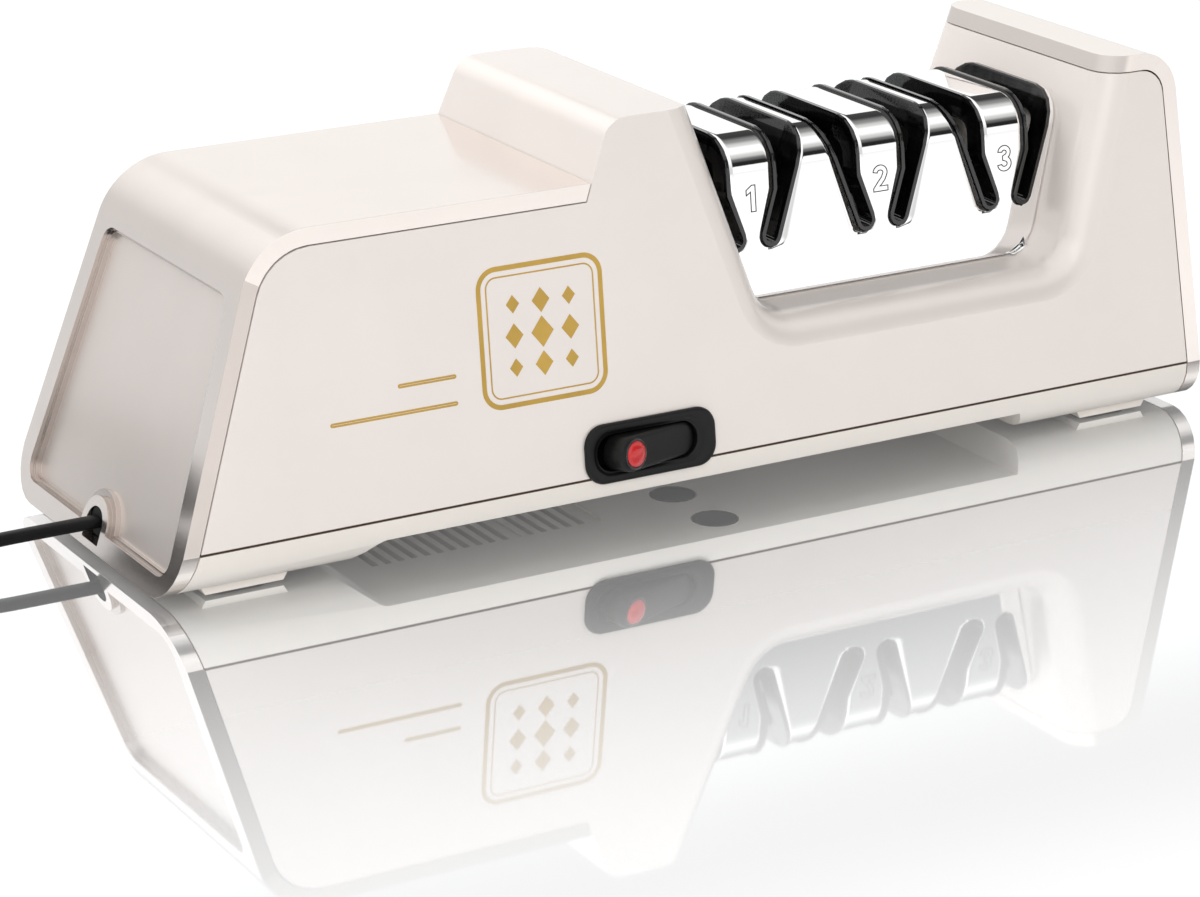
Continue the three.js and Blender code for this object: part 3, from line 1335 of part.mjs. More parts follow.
function place(name, solid, look, parent = onBody) {
  const mesh = solid.isBufferGeometry ? namedMesh(name, solid, look) : meshFrom(name, solid, look);
  parent.add(mesh);
  return mesh;
}

place("motor_cover", motorCover(), CHAMPAGNE);
place("main_housing", mainHousing(saddle, passage), PEARL);
place("end_cover", farCover(saddle), CHAMPAGNE);
place("base_pan", basePan(passage), PEARL_BASE);
place("guide_cover", guideCover(), CHROME);
place("guide_insert", guideInsert(), GLOSS_BLACK);
for (const [x, side] of footPlaces) {
  const end = x < 0 ? "motor_end" : "far_end";
  const face = side < 0 ? "front" : "back";
  place(`foot_pad_${end}_${face}`, footPad(x, side, 0, PAD_HEIGHT), RUBBER);
}
for (const [index, y] of plugPlaces.entries()) {
  const disc = upright(PLUG_DISC_RADIUS, plugDiscX, y, RECESS_Z, RECESS_Z + PLUG_DISC_THICKNESS);
  place(["screw_plug_front", "screw_plug_middle"][index], disc, RUBBER);
}

place("switch_bezel", switchBezel(), SATIN_BLACK, switchGroup);
place("switch_rocker", rocker(), SATIN_BLACK, rockerFrame);
place("switch_lens", lens(), RED_LENS, rockerFrame);
place("switch_body", switchBody(), NYLON, switchGroup);
place("switch_terminal_live", switchTerminal(-1), BRASS, switchGroup);
place("switch_terminal_load", switchTerminal(1), BRASS, switchGroup);

place("motor_can", motorCan(), ZINC);
place("motor_end_bell", endBell(), NYLON);
place("motor_clamp", motorClamp(), ZINC);
place("motor_shaft", rod(SHAFT_RADIUS, shaftX, couplingMiddleX - SEAM / 2), STEEL);
place("cooling_fan", coolingFan(), NYLON);
place("shaft_coupling", coupling(), NYLON);
place("spindle", spindle(), STEEL);
place("bearing_motor_end", bearing(bearingMotorX), BRASS);
place("bearing_far_end", bearing(bearingFarX), BRASS);
place("bracket_motor_end", bearingBracket(bearingMotorX, RECESS_Z + BASE_WALL + SEAM, -1), ZINC);
place("bracket_far_end", bearingBracket(bearingFarX, UNDERSIDE_Z + BASE_WALL + SEAM, 1), ZINC);
for (const [index, stage] of stages.entries()) {
  for (const side of [-1, 1]) {
    const label = `stage_${index + 1}_${side < 0 ? "left" : "right"}`;
    const ringFrom = HUB_FAR + SEAM;
    const edges = [stage + side * ringFrom, stage + side * (ringFrom + RING_THICKNESS)];
    place(`wheel_${label}`, wheel(stage, side), ABRASIVE);
    place(`spring_${label}`, spring(stage, side), STEEL);
    place(`ring_${label}`, ring(spindleBore, RING_RADIUS, Math.min(...edges), Math.max(...edges)), STEEL);
  }
}
place("circuit_board", circuitBoard(), BOARD_GREEN);
place("capacitor", capacitor(), CAPACITOR_BLUE);
place("bridge_rectifier", rectifier(), GLOSS_BLACK);

place("cord_grommet", grommet(), RUBBER);
place("cord_run", cordRun(), CORD_BLACK);
place("cord_coil", cordCoil(), CORD_BLACK);
place("cord_tail", cordTail(), CORD_BLACK);
place("plug_body", plugBody(), CORD_BLACK);
place("plug_blade_left", plugBlade(1), BRASS);
place("plug_blade_right", plugBlade(-1), BRASS);

const coilRings = coilCentres().map((centre, index) => cordRing(centre, coilHeadings()[index]));
console.log("cord coil: least gap to itself", leastGap(coilRings, LOOP_STEPS).toFixed(2), "mm");

// The origin lies under the middle of the body and its fittings, without the cord.
onBody.updateMatrixWorld(true);
const CORD_NODES = ["cord_run", "cord_coil", "cord_tail", "plug_body", "plug_blade_left", "plug_blade_right"];
const box = new THREE.Box3();
onBody.traverse((item) => {
  if (item.isMesh && !CORD_NODES.includes(item.name)) box.expandByObject(item, true);
});
const middle = box.getCenter(new THREE.Vector3());
onBody.position.set(-middle.x, -middle.y, -box.min.z);
sharpener.add(onBody);

export default sharpener;
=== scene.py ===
"""Looks of a bench-top electric knife sharpener with three guided stages.

The file is laid out as an add-on: one operator makes each piece or group of like pieces, and a panel in
the 3D view's sidebar lists them. It runs as a script. Shapes are worked out in millimetres from the middle
of the body, and in_frame turns them into metres in the row's frame.
"""

import json
import math

import bmesh
import bpy
import numpy as np
from bpy.props import FloatProperty, FloatVectorProperty, IntProperty, PointerProperty
from mathutils import Matrix, Vector

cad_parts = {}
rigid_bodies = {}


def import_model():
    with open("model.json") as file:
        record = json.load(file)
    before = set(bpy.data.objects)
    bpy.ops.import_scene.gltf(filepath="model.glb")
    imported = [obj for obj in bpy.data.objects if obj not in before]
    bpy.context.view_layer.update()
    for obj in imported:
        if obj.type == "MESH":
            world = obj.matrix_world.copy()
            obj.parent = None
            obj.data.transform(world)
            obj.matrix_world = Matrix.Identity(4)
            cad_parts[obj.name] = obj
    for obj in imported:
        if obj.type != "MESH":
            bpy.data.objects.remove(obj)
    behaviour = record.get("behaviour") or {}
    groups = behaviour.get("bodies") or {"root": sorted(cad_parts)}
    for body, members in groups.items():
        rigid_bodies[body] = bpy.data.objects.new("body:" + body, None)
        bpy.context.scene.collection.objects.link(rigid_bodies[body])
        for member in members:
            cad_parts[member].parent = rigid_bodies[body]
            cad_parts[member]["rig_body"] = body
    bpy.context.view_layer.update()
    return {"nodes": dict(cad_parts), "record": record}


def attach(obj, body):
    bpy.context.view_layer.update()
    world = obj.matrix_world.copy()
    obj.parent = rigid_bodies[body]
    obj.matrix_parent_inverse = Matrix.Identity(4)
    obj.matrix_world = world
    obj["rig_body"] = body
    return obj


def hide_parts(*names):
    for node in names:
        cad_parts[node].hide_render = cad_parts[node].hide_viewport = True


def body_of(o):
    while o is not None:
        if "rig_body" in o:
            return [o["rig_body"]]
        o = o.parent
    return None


bl_info = {
    "name": "Knife sharpener",
    "version": (1, 0, 0),
    "blender": (4, 5, 0),
    "location": "3D View > Sidebar > Sharpener",
    "description": "Builds the visible pieces of a three-stage bench sharpener round its packed frame",
    "category": "Object",
}

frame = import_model()

# Row frame less body coordinates, in millimetres
SHIFT = np.array([1.4391937, 3.1635645, 0.0])

# Body
PARTING_Z = 13.0
FACE_Y = -45.0
FACE_LEAN = 0.12
FACE_SECANT = math.hypot(1, FACE_LEAN)
FACE_OUT = np.array([0.0, -1.0, FACE_LEAN]) / FACE_SECANT
END_LEAN = 0.337
END_X = -135.0
FAR_LEAN = 0.08
WRAP = 3.9
MOTOR_BEND = (-103.25, 62.4)
FAR_BEND = (123.4, 81.2)
BEND_FACETS = 6
SHELL_SMOOTH = 34

# End panel: the two corners of the space that it lies in, and how deep its steps go
PANEL_LOW = (-150, -41, 3)
PANEL_HIGH = (-105, 41, 67)
PANEL_DEPTH = 2.58

# Guide module
GUIDE_HALF = 25.2
GUIDE_TOP_Z = 80.3
GUIDE_ROUND = 9.0
GUIDE_SHEET = 1.5
SADDLE_Z = 42.0
SADDLE_X = 56.6
SADDLE_LENGTH = 85.3
SADDLE_LEANS = (0.345, 0.29)
SADDLE_ROUND = 9.7
STAGES = (19.6, 56.2, 92.8)
TIP_X = 4.8
TIP_Z = 56.7
SLOT_ROUND = 2.6
SLOT_LEAN = 0.365
ISLAND = 6.05
RIM_WIDTH = 0.9
RIM_PROUD = 0.5
RIM_DEPTH = 5.5
RIM_FIT = 0.2
NUMBER_Z = 62.9
GUIDE_FOOT_Z = SADDLE_Z + 0.4
GUIDE_TURN_Z = GUIDE_TOP_Z - GUIDE_ROUND + GUIDE_ROUND * math.sin(math.atan(FACE_LEAN))
SIDE_SHARE = 0.4
ROUND_SHARE = 0.48

# Print: the foot's y and z of the face that it is on, and how far it stands off it, below and above
ON_FRONT = (FACE_Y, PARTING_Z, 0.01, 0.06)
ON_GUIDE = (-GUIDE_HALF, SADDLE_Z, 0.005, 0.05)
LATTICE_PLACE = np.array([-47.4, 49.0])
LATTICE_HALF = 16.2
LATTICE_ROUND = 5.0
LOZENGE_STEP = 7.2
STRIPES_END = -69.9

# Switch
LENS_X = -7.8
SWITCH_X = -22.3
SWITCH_Z = 18.45
BEZEL_SHIFT = 0.9
WELL_HALF = 13.4
ROCKER_TILT = math.radians(17.5)

# Drive
AXLE_Z = 35.0

# Cord
CORD_ROUTE = (
    (-139.81, 0, 7.7), (-146, 0, 7.7), (-152, 0, 7.7), (-158, 0, 7.7), (-163, 0, 7.65), (-168, 0, 7.35),
    (-173, 0, 6.3), (-178, 0, 4.7), (-183, 0, 3.2), (-188, 0, 2.1), (-193, 0, 1.5), (-199.7, 0, 1.3),
)
COIL_X = -200.0
COIL_Y = 31.1
COIL_TURNS = 9.25
TAIL_ROUND = 26.0
PLUG_X = -203.3
PLUG_Y = 57.1
PLUG_Z = 20.3


# Settings


def colour(name, description, default):
    """A colour that the user may change."""
    return FloatVectorProperty(
        name=name, description=description, subtype="COLOR", size=3, min=0.0, max=1.0, default=default
    )


def length(name, description, low, high, default):
    """A length in metres that the user may change."""
    return FloatProperty(
        name=name, description=description, unit="LENGTH", min=low, max=high, default=default
    )


class SharpenerSettings(bpy.types.PropertyGroup):
    """Sizes and colours that a user may change before the pieces are made."""

    pearl: colour("Pearl shell", "Colour of the upper housing", (0.86, 0.79, 0.745))
    pan: colour("Base pan", "Colour of the moulding below the parting line", (0.92, 0.86, 0.795))
    champagne: colour("Wrap covers", "Colour of the two metallic covers", (0.82, 0.755, 0.715))
    gold: colour("Gold print", "Colour of the printed ornament", (0.52, 0.33, 0.07))
    cord_width: length("Cord width", "Width of the flat two-core cord", 0.003, 0.006, 0.0044)
    cord_height: length("Cord height", "Height of the flat two-core cord", 0.002, 0.004, 0.0026)
    bevel: length("Edge rounding", "Rounding of the moulded edges", 0.0001, 0.0006, 0.00035)
    turn_steps: IntProperty(
        name="Steps a turn", description="Rings of the cord in a turn of its coil", min=24, max=96, default=48
    )


# Surfaces


def in_frame(points):
    """Body millimetres as metres in the row's frame."""
    return (np.asarray(points, float) + SHIFT) * 0.001


def unit(vectors):
    """Vectors at a length of one."""
    return vectors / np.linalg.norm(vectors, axis=-1, keepdims=True)


def signed_power(value, power):
    """A power of the value's size that keeps its sign."""
    return np.sign(value) * np.abs(value) ** power


def circle(count):
    """Angles of a whole circle in even steps."""
    return np.linspace(0, 2 * np.pi, count, endpoint=False)


def vectors_of(elements, attribute):
    """An attribute of a mesh's vertices or faces as rows of three numbers."""
    values = np.empty(len(elements) * 3)
    elements.foreach_get(attribute, values)
    return values.reshape(-1, 3)


def new_object(name, data):
    """An object of the data, linked to the scene."""
    obj = bpy.data.objects.new(name, data)
    bpy.context.scene.collection.objects.link(obj)
    return obj


def surface_object(name, grids, caps=True, wrap_rows=False, wrap_columns=True, degrees=35.0):
    """One object of one or more grids of points [row, column, xyz] in body millimetres.

    Four neighbours on a grid make a face. Columns close on themselves when wrap_columns is set, rows when
    wrap_rows is, and caps closes the first and last row with one face each.
    """
    grids = grids if isinstance(grids, list) else [grids]
    vertices, faces, start = [], [], 0
    for grid in grids:
        rows, columns = grid.shape[:2]
        index = start + np.arange(rows * columns).reshape(rows, columns)
        ahead = np.roll(index, -1, 0)
        here = index if wrap_rows else index[:-1]
        ahead = ahead if wrap_rows else ahead[:-1]
        here_next, ahead_next = np.roll(here, -1, 1), np.roll(ahead, -1, 1)
        quads = np.stack([here, here_next, ahead_next, ahead], -1)
        quads = quads if wrap_columns else quads[:, :-1]
        faces += quads.reshape(-1, 4).tolist()
        if caps and not wrap_rows:
            faces += [index[0][::-1].tolist(), index[-1].tolist()]
        vertices.append(in_frame(grid).reshape(-1, 3))
        start += rows * columns
    mesh = bpy.data.meshes.new(name)
    mesh.from_pydata(np.concatenate(vertices).tolist(), [], faces)
    return settle(name, mesh, degrees)


def ring_object(name, grids, degrees):
    """One object of grids that close on themselves both ways."""
    return surface_object(name, grids, caps=False, wrap_rows=True, degrees=degrees)


def settle(name, mesh, degrees, merge=1e-7, outward=True):
    """Merges doubled points, turns the faces outwards and shades every edge below the angle smoothly."""
    work = bmesh.new()
    work.from_mesh(mesh)
    bmesh.ops.remove_doubles(work, verts=work.verts, dist=merge)
    bmesh.ops.dissolve_degenerate(work, dist=merge, edges=work.edges)
    if outward:
        bmesh.ops.recalc_face_normals(work, faces=work.faces)
    work.to_mesh(mesh)
    work.free()
    mesh.polygons.foreach_set("use_smooth", np.ones(len(mesh.polygons), bool))
    mesh.set_sharp_from_angle(angle=math.radians(degrees))
    return new_object(name, mesh)


def rounded_rows(insets, half_x, half_y, radius, steps=12):
    """Rounded rectangles, one row for each inset from the outermost one, as [row, column, xy].

    A corner is a quarter circle about a centre that stays where it is, so its radius shrinks by the inset.
    """
    insets = np.asarray(insets, float)[:, None]
    angles = np.linspace(0, np.pi / 2, steps + 1)
    corners = []
    for quarter, (sx, sy) in enumerate(((1, 1), (-1, 1), (-1, -1), (1, -1))):
        turn = angles + quarter * np.pi / 2
        reach = radius - insets
        x = sx * (half_x - radius) + reach * np.cos(turn)
        y = sy * (half_y - radius) + reach * np.sin(turn)
        corners.append(np.stack([x, y], -1))
    return np.concatenate(corners, 1)


def pad_grid(profile, half_x, half_y, radius, steps=12):
    """A closed pad: the profile's [inset, height] pairs carried round a rounded rectangle."""
    profile = np.asarray(profile, float)
    flat = rounded_rows(profile[:, 0], half_x, half_y, radius, steps)
    height = np.broadcast_to(profile[:, 1][:, None, None], flat.shape[:2] + (1,))
    return np.concatenate([flat, height], -1)


def turned_grid(profile, sides=48, x=0.0):
    """The profile's [radius, along] pairs turned a whole circle about the drive's axis."""
    profile = np.asarray(profile, float)
    angle = circle(sides)
    radius = profile[:, :1]
    along = np.broadcast_to(profile[:, 1:] + x, (len(profile), sides))
    return np.stack([along, radius * np.cos(angle), AXLE_Z + radius * np.sin(angle)], -1)


def rounded_profile(points, radius, steps=4):
    """Corner points of a profile with each corner replaced by a small arc, a curve of two blends."""
    points = np.asarray(points, float)
    ends = []
    for step in (1, -1):
        leg = np.roll(points, step, 0) - points
        reach = np.minimum(radius, np.linalg.norm(leg, axis=1, keepdims=True) * 0.45)
        ends.append(points + unit(leg) * reach)
    share = np.linspace(0, 1, steps + 1)[None, :, None]
    curve = (1 - share) ** 2 * ends[0][:, None] + share**2 * ends[1][:, None]
    curve += 2 * share * (1 - share) * points[:, None]
    return curve.reshape(-1, 2)


def tube_grid(centres, across, up, section):
    """A section's [across, up] points carried along centres, with the two directions given at each centre."""
    section = np.asarray(section, float)
    return (
        centres[:, None]
        + section[None, :, :1] * across[:, None]
        + section[None, :, 1:] * up[:, None]
    )


def fine_curve(points, per_span):
    """Smooth curve through the points: a cubic for each span, its slopes from the neighbours' difference."""
    points = np.asarray(points, float)
    padded = np.concatenate([2 * points[:1] - points[1:2], points, 2 * points[-1:] - points[-2:-1]])
    a, b, c, d = (padded[i : len(padded) - 3 + i, None] for i in range(4))
    t = np.linspace(0, 1, per_span, endpoint=False)[None, :, None]
    curve = 0.5 * (2 * b + (c - a) * t + (2 * a - 5 * b + 4 * c - d) * t**2 + (3 * b - a - 3 * c + d) * t**3)
    return np.concatenate([curve.reshape(-1, 3), points[-1:]])


def finer_bend(work, centre, start, side, radii, parts=6):
    """Splits each facet of a bend about an axis along y and moves the new points out to its round.

    The bend runs from the start angle to the vertical on the given side of the axis. A point at an angle d
    from the middle of its facet moves out by cos(d) / cos(half a facet), which turns the chord into the arc.
    """
    cx, cz = in_frame((centre[0], 0.0, centre[1]))[[0, 2]]
    end = math.pi / 2
    for angle in np.linspace(start, end, BEND_FACETS * parts + 1)[1:-1]:
        pieces = work.verts[:] + work.edges[:] + work.faces[:]
        normal = (-side * math.sin(angle), 0.0, math.cos(angle))
        bmesh.ops.bisect_plane(work, geom=pieces, dist=2e-6, plane_co=(cx, 0.0, cz), plane_no=normal)
    mesh = bpy.data.meshes.new("bend")
    work.to_mesh(mesh)
    points = vectors_of(mesh.vertices, "co")
    x, z = points[:, 0] - cx, points[:, 2] - cz
    radius, angle = np.hypot(x, z), np.arctan2(z, side * x)
    width = (end - start) / BEND_FACETS
    apart = (angle - start) % width - width / 2
    inside = (angle > start) & (angle < end) & (radius > radii[0] * 0.001) & (radius < radii[1] * 0.001)
    grow = np.where(inside, np.cos(apart) / math.cos(width / 2), 1.0)
    points[:, 0], points[:, 2] = cx + x * grow, cz + z * grow
    mesh.vertices.foreach_set("co", points.ravel())
    work.clear()
    work.from_mesh(mesh)
    bpy.data.meshes.remove(mesh)


def node_copy(node, name, bevel=0.0, bend=None):
    """A merged copy of a CAD node's mesh, its flat faces joined, shaded smoothly, its sharp edges rounded."""
    mesh = frame["nodes"][node].data.copy()
    mesh.materials.clear()
    work = bmesh.new()
    work.from_mesh(mesh)
    bmesh.ops.remove_doubles(work, verts=work.verts, dist=2e-6)
    if bend:
        finer_bend(work, *bend)
    bmesh.ops.dissolve_limit(work, angle_limit=math.radians(0.2), verts=work.verts, edges=work.edges)
    work.to_mesh(mesh)
    work.free()
    for attribute in [a.name for a in mesh.attributes if a.name in ("custom_normal", "sharp_face")]:
        mesh.attributes.remove(mesh.attributes[attribute])
    obj = settle(name, mesh, SHELL_SMOOTH, merge=1e-9, outward=False)
    if bevel:
        round_edges(obj, bevel)
    level = obj.modifiers.new("flat faces stay flat", "WEIGHTED_NORMAL")
    level.mode = "FACE_AREA"
    level.weight = 80
    level.keep_sharp = True
    return obj


def round_edges(obj, width, degrees=40.0):
    """Rounds the edges that bend more than the angle."""
    modifier = obj.modifiers.new("rounded edges", "BEVEL")
    modifier.width = width
    modifier.segments = 2
    modifier.limit_method = "ANGLE"
    modifier.angle_limit = math.radians(degrees)
    modifier.harden_normals = False
    modifier.use_clamp_overlap = True
    return obj


def hand_over(obj, slot, *nodes, body="housing", look=None):
    """Gives a piece its finish, attaches it to its body and hides the CAD nodes that it stands for.

    The finish is the slot's usual one unless look names another.
    """
    obj.data.materials.clear()
    obj.data.materials.append(finish(look) if look else slot_finish(slot))
    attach(obj, body)
    if nodes:
        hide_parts(*nodes)
    return obj


# Shader nodes


def fill(tree, node, sockets):
    """Gives each named or numbered socket of a node a value, or a link when that is another node's socket."""
    for socket, value in sockets.items():
        if isinstance(value, bpy.types.NodeSocket):
            tree.links.new(value, node.inputs[socket])
        else:
            node.inputs[socket].default_value = value
    return node


def add_node(tree, kind, sockets=None, **settings):
    """A new shader node with its settings and the values or links of its sockets; returns its outputs."""
    node = tree.nodes.new(f"ShaderNode{kind}")
    for name, value in settings.items():
        setattr(node, name, value)
    return fill(tree, node, sockets or {}).outputs


def calculate(tree, operation, *inputs):
    """The result of a Math node whose inputs are numbers or sockets."""
    return add_node(tree, "Math", dict(enumerate(inputs)), operation=operation)[0]


def map_range(tree, value, low, high, to_low=0.0, to_high=1.0, step="LINEAR"):
    """A value mapped from one range to another and clamped to it."""
    sockets = {"Value": value, "From Min": low, "From Max": high, "To Min": to_low, "To Max": to_high}
    return add_node(tree, "MapRange", sockets, interpolation_type=step)["Result"]


def mix_colours(tree, factor, first, second):
    """The mix of two colours by a factor."""
    return add_node(tree, "Mix", {"Factor": factor, "A": first, "B": second}, data_type="RGBA")["Result"]


def colour_ramp(tree, factor, stops, easing="LINEAR"):
    """The colour for a factor, blended between the stops' positions and colours."""
    node = tree.nodes.new("ShaderNodeValToRGB")
    node.color_ramp.interpolation = easing
    elements = node.color_ramp.elements
    for position, shade in stops:
        elements.new(position).color = (*shade, 1)
    elements.remove(elements[0])
    elements.remove(elements[-1])
    return fill(tree, node, {"Fac": factor}).outputs["Color"]


def separate(tree, kind):
    """X, Y and Z of one kind of texture coordinates."""
    return add_node(tree, "SeparateXYZ", {"Vector": add_node(tree, "TexCoord")[kind]})


# Finishes

# Colour or the setting that holds it, roughness, metallic share, drift of the colour and its size, size of
# the grain, its height as bump and its spread in the roughness; sizes in metres
FINISHES = {
    "pearl lacquer": ("pearl", 0.32, 0.12, 0.012, 0.02, 0.0004, 2e-6, 0.03),
    "moulded base": ("pan", 0.42, 0.0, 0.015, 0.02, 0.0005, 6e-6, 0.05),
    "champagne metal": ("champagne", 0.16, 0.92, 0.012, 0.015, 0.0003, 8e-7, 0.015),
    "satin panel": ("champagne", 0.42, 0.8, 0.012, 0.02, 0.0003, 3e-6, 0.03),
    "bright trim": ((0.6, 0.54, 0.505), 0.2, 1.0, 0.02, 0.01, 0.0003, 1e-6, 0.02),
    "bright sheet": ((0.92, 0.92, 0.92), 0.045, 1.0, 0.008, 0.02, 0.0008, 5e-7, 0.015),
    "gloss black": ((0.004, 0.004, 0.004), 0.1, 0.0, 0.2, 0.01, 0.0006, 1e-6, 0.03),
    "satin black": ((0.006, 0.006, 0.006), 0.4, 0.0, 0.15, 0.004, 0.0002, 6e-6, 0.06),
    "black rubber": ((0.014, 0.014, 0.014), 0.75, 0.0, 0.2, 0.004, 0.0003, 2e-5, 0.08),
    "black sheath": ((0.006, 0.006, 0.0065), 0.4, 0.0, 0.2, 0.006, 0.0004, 6e-6, 0.06),
    "red lens": ((0.5, 0.006, 0.008), 0.3, 0.0, 0.1, 0.0015, 0.0006, 1e-6, 0.03),
    "gold foil": ("gold", 0.35, 0.55, 0.1, 0.012, 0.0005, 2e-6, 0.06),
    "bright steel": ((0.56, 0.56, 0.57), 0.3, 1.0, 0.05, 0.01, 0.0004, 4e-6, 0.08),
    "zinc steel": ((0.42, 0.44, 0.45), 0.42, 1.0, 0.14, 0.004, 0.0009, 6e-6, 0.08),
    "brass": ((0.50, 0.36, 0.13), 0.32, 1.0, 0.08, 0.006, 0.0005, 4e-6, 0.07),
    "nickel-plated brass": ((0.62, 0.59, 0.53), 0.26, 1.0, 0.05, 0.006, 0.0005, 3e-6, 0.06),
    "nylon": ((0.76, 0.74, 0.66), 0.5, 0.0, 0.03, 0.01, 0.0006, 1.2e-5, 0.06),
    "abrasive": ((0.20, 0.19, 0.18), 0.85, 0.25, 0.3, 0.0012, 0.00025, 8e-5, 0.1),
    "circuit board": ((0.022, 0.12, 0.045), 0.45, 0.0, 0.22, 0.0018, 0.0004, 1e-5, 0.1),
    "blue epoxy": ((0.03, 0.09, 0.26), 0.35, 0.0, 0.1, 0.004, 0.0007, 1e-5, 0.06),
}

# What differs on the shader itself
SHADER_SOCKETS = {
    "pearl lacquer": {"Coat Weight": 0.5, "Coat Roughness": 0.14},
    "moulded base": {"Coat Weight": 0.1, "Coat Roughness": 0.2},
    "gloss black": {"Coat Weight": 0.5, "Coat Roughness": 0.04},
    "satin black": {"Specular IOR Level": 0.27},
    "black sheath": {"Specular IOR Level": 0.14},
    "red lens": {
        "Coat Weight": 0.5,
        "Coat Roughness": 0.05,
        "Transmission Weight": 0.06,
        # The emission is a painted glow that brightens the lens's red; no lamp lights it
        "Emission Color": (0.8, 0.02, 0.02, 1),
        "Emission Strength": 0.14,
    },
    "nylon": {"Subsurface Weight": 0.1},
}

# Stretch of the grain: turned steel has fine rings round its axis
GRAIN_STRETCH = {"bright steel": (6.0, 0.6, 0.6)}

# Heights between which the groove of the parting line is painted dark, in metres: painted shade that stands
# in for the shadow in the gap between housing and base pan
SEAM_SHADOW_HEIGHTS = {"pearl lacquer": (0.01300, 0.01332), "moulded base": (0.01268, 0.01300)}
SEAM_PAINTED_SHADOW = (0.22, 0.165, 0.125, 1)

# Slots whose finish goes by another name than theirs
SLOT_FINISHES = {
    "champagne_shell": "champagne metal",
    "pearl_shell": "pearl lacquer",
    "pearl_base": "moulded base",
    "cord_black": "black sheath",
    "board_green": "circuit board",
    "capacitor_blue": "blue epoxy",
}


def slot_finish(slot):
    """The finish of a material slot."""
    return finish(SLOT_FINISHES.get(slot, slot.replace("_", " ")))


def finish(name):
    """A finish: a broad drift of the colour, a fine grain in the roughness and the same grain as bump."""
    if name in bpy.data.materials:
        return bpy.data.materials[name]
    shade, rough, metallic, drift, drift_size, grain_size, grain_height, spread = FINISHES[name]
    if isinstance(shade, str):
        shade = getattr(bpy.context.scene.sharpener, shade)
    material = bpy.data.materials.new(name)
    material.use_nodes = True
    tree = material.node_tree
    place = add_node(tree, "TexCoord")["Object"]
    place = add_node(tree, "Mapping", {"Vector": place, "Scale": GRAIN_STRETCH.get(name, (1, 1, 1))})[0]
    broad = add_node(tree, "TexNoise", {"Vector": place, "Scale": 1 / drift_size, "Detail": 3})["Fac"]
    fine = add_node(tree, "TexNoise", {"Vector": place, "Scale": 1 / grain_size, "Detail": 2})["Fac"]
    shades = [np.minimum(np.array(shade) * change, 1.0) for change in (1 - drift, 1 + drift)]
    base = colour_ramp(tree, broad, zip((0.3, 0.7), shades))
    # Painted shade: a dark colour in the parting line's groove stands in for the shadow in the gap
    if name in SEAM_SHADOW_HEIGHTS:
        low, high = SEAM_SHADOW_HEIGHTS[name]
        height = separate(tree, "Object")["Z"]
        inside = calculate(tree, "COMPARE", height, (low + high) / 2, (high - low) / 2)
        base = mix_colours(tree, inside, base, SEAM_PAINTED_SHADOW)
    rough = map_range(tree, fine, 0.3, 0.7, max(0.0, rough - spread), min(1.0, rough + spread))
    bump = add_node(tree, "Bump", {"Distance": grain_height, "Strength": 1.0, "Height": fine})[0]
    sockets = {"Base Color": base, "Metallic": metallic, "Roughness": rough, "Normal": bump}
    fill(tree, tree.nodes["Principled BSDF"], sockets | SHADER_SOCKETS.get(name, {}))
    return material


# Camera, floor and light

# Camera: its place in body millimetres, its turn and its dip in degrees, its focal length
VIEW_PLACE = (-444.198, -746.905, 305.025)
VIEW_TURN = -30.244
VIEW_DIP = 19.321
VIEW_LENS = 113.365

# Levels of the surroundings that bright surfaces see, by the share of a half turn about the body's length
WORLD_BANDS = (
    (0.0, 0.60), (0.06, 0.66), (0.09, 0.70), (0.148, 0.70), (0.168, 0.04), (0.33, 0.03), (0.44, 0.18),
    (0.53, 0.46), (0.59, 0.72), (0.66, 0.72), (0.74, 0.42), (0.80, 0.10), (0.85, 0.012), (0.895, 0.012),
    (0.912, 0.72),
)

# How high a direction points and the level there, low to high: for matt surfaces, and for bright ones where
# the bands have faded; the side reach over which they fade, and the strength of both
MATT_LEVELS = (0.1, 0.9, 0.74, 0.42)
PLAIN_LEVELS = (0.24, 0.54, 0.47, 0.76)
BAND_FADE = (0.02, 0.34)
BAND_STRENGTH = 1.6

# Floor: half its width in metres, its shade, what it adds for the camera and for reflections, and its
# mirror's shade, greatest share and the two depths between which it comes up
FLOOR_HALF = 9.0
FLOOR_SHADE = (0.57, 0.57, 0.57, 1)
FLOOR_LIFT_SEEN = 0.50
FLOOR_LIFT_MIRRORED = 0.74
MIRROR_SHADE = (0.955, 0.98, 1, 1)
MIRROR_SHARE = 0.86
MIRROR_FADE = (-0.30, -0.05)


def add_camera():
    """The photograph's viewpoint: 36 mm wide film, no shift, level."""
    data = bpy.data.cameras.new("view")
    data.lens = VIEW_LENS
    data.sensor_width = 36.0
    data.sensor_fit = "HORIZONTAL"
    data.clip_start = 0.05
    data.clip_end = 60.0
    camera = new_object("view", data)
    turn, tip = math.radians(VIEW_TURN), math.pi / 2 - math.radians(VIEW_DIP)
    aim = Matrix.Rotation(turn, 4, "Z") @ Matrix.Rotation(tip, 4, "X")
    camera.matrix_world = Matrix.Translation(Vector(in_frame(VIEW_PLACE))) @ aim
    bpy.context.scene.camera = camera


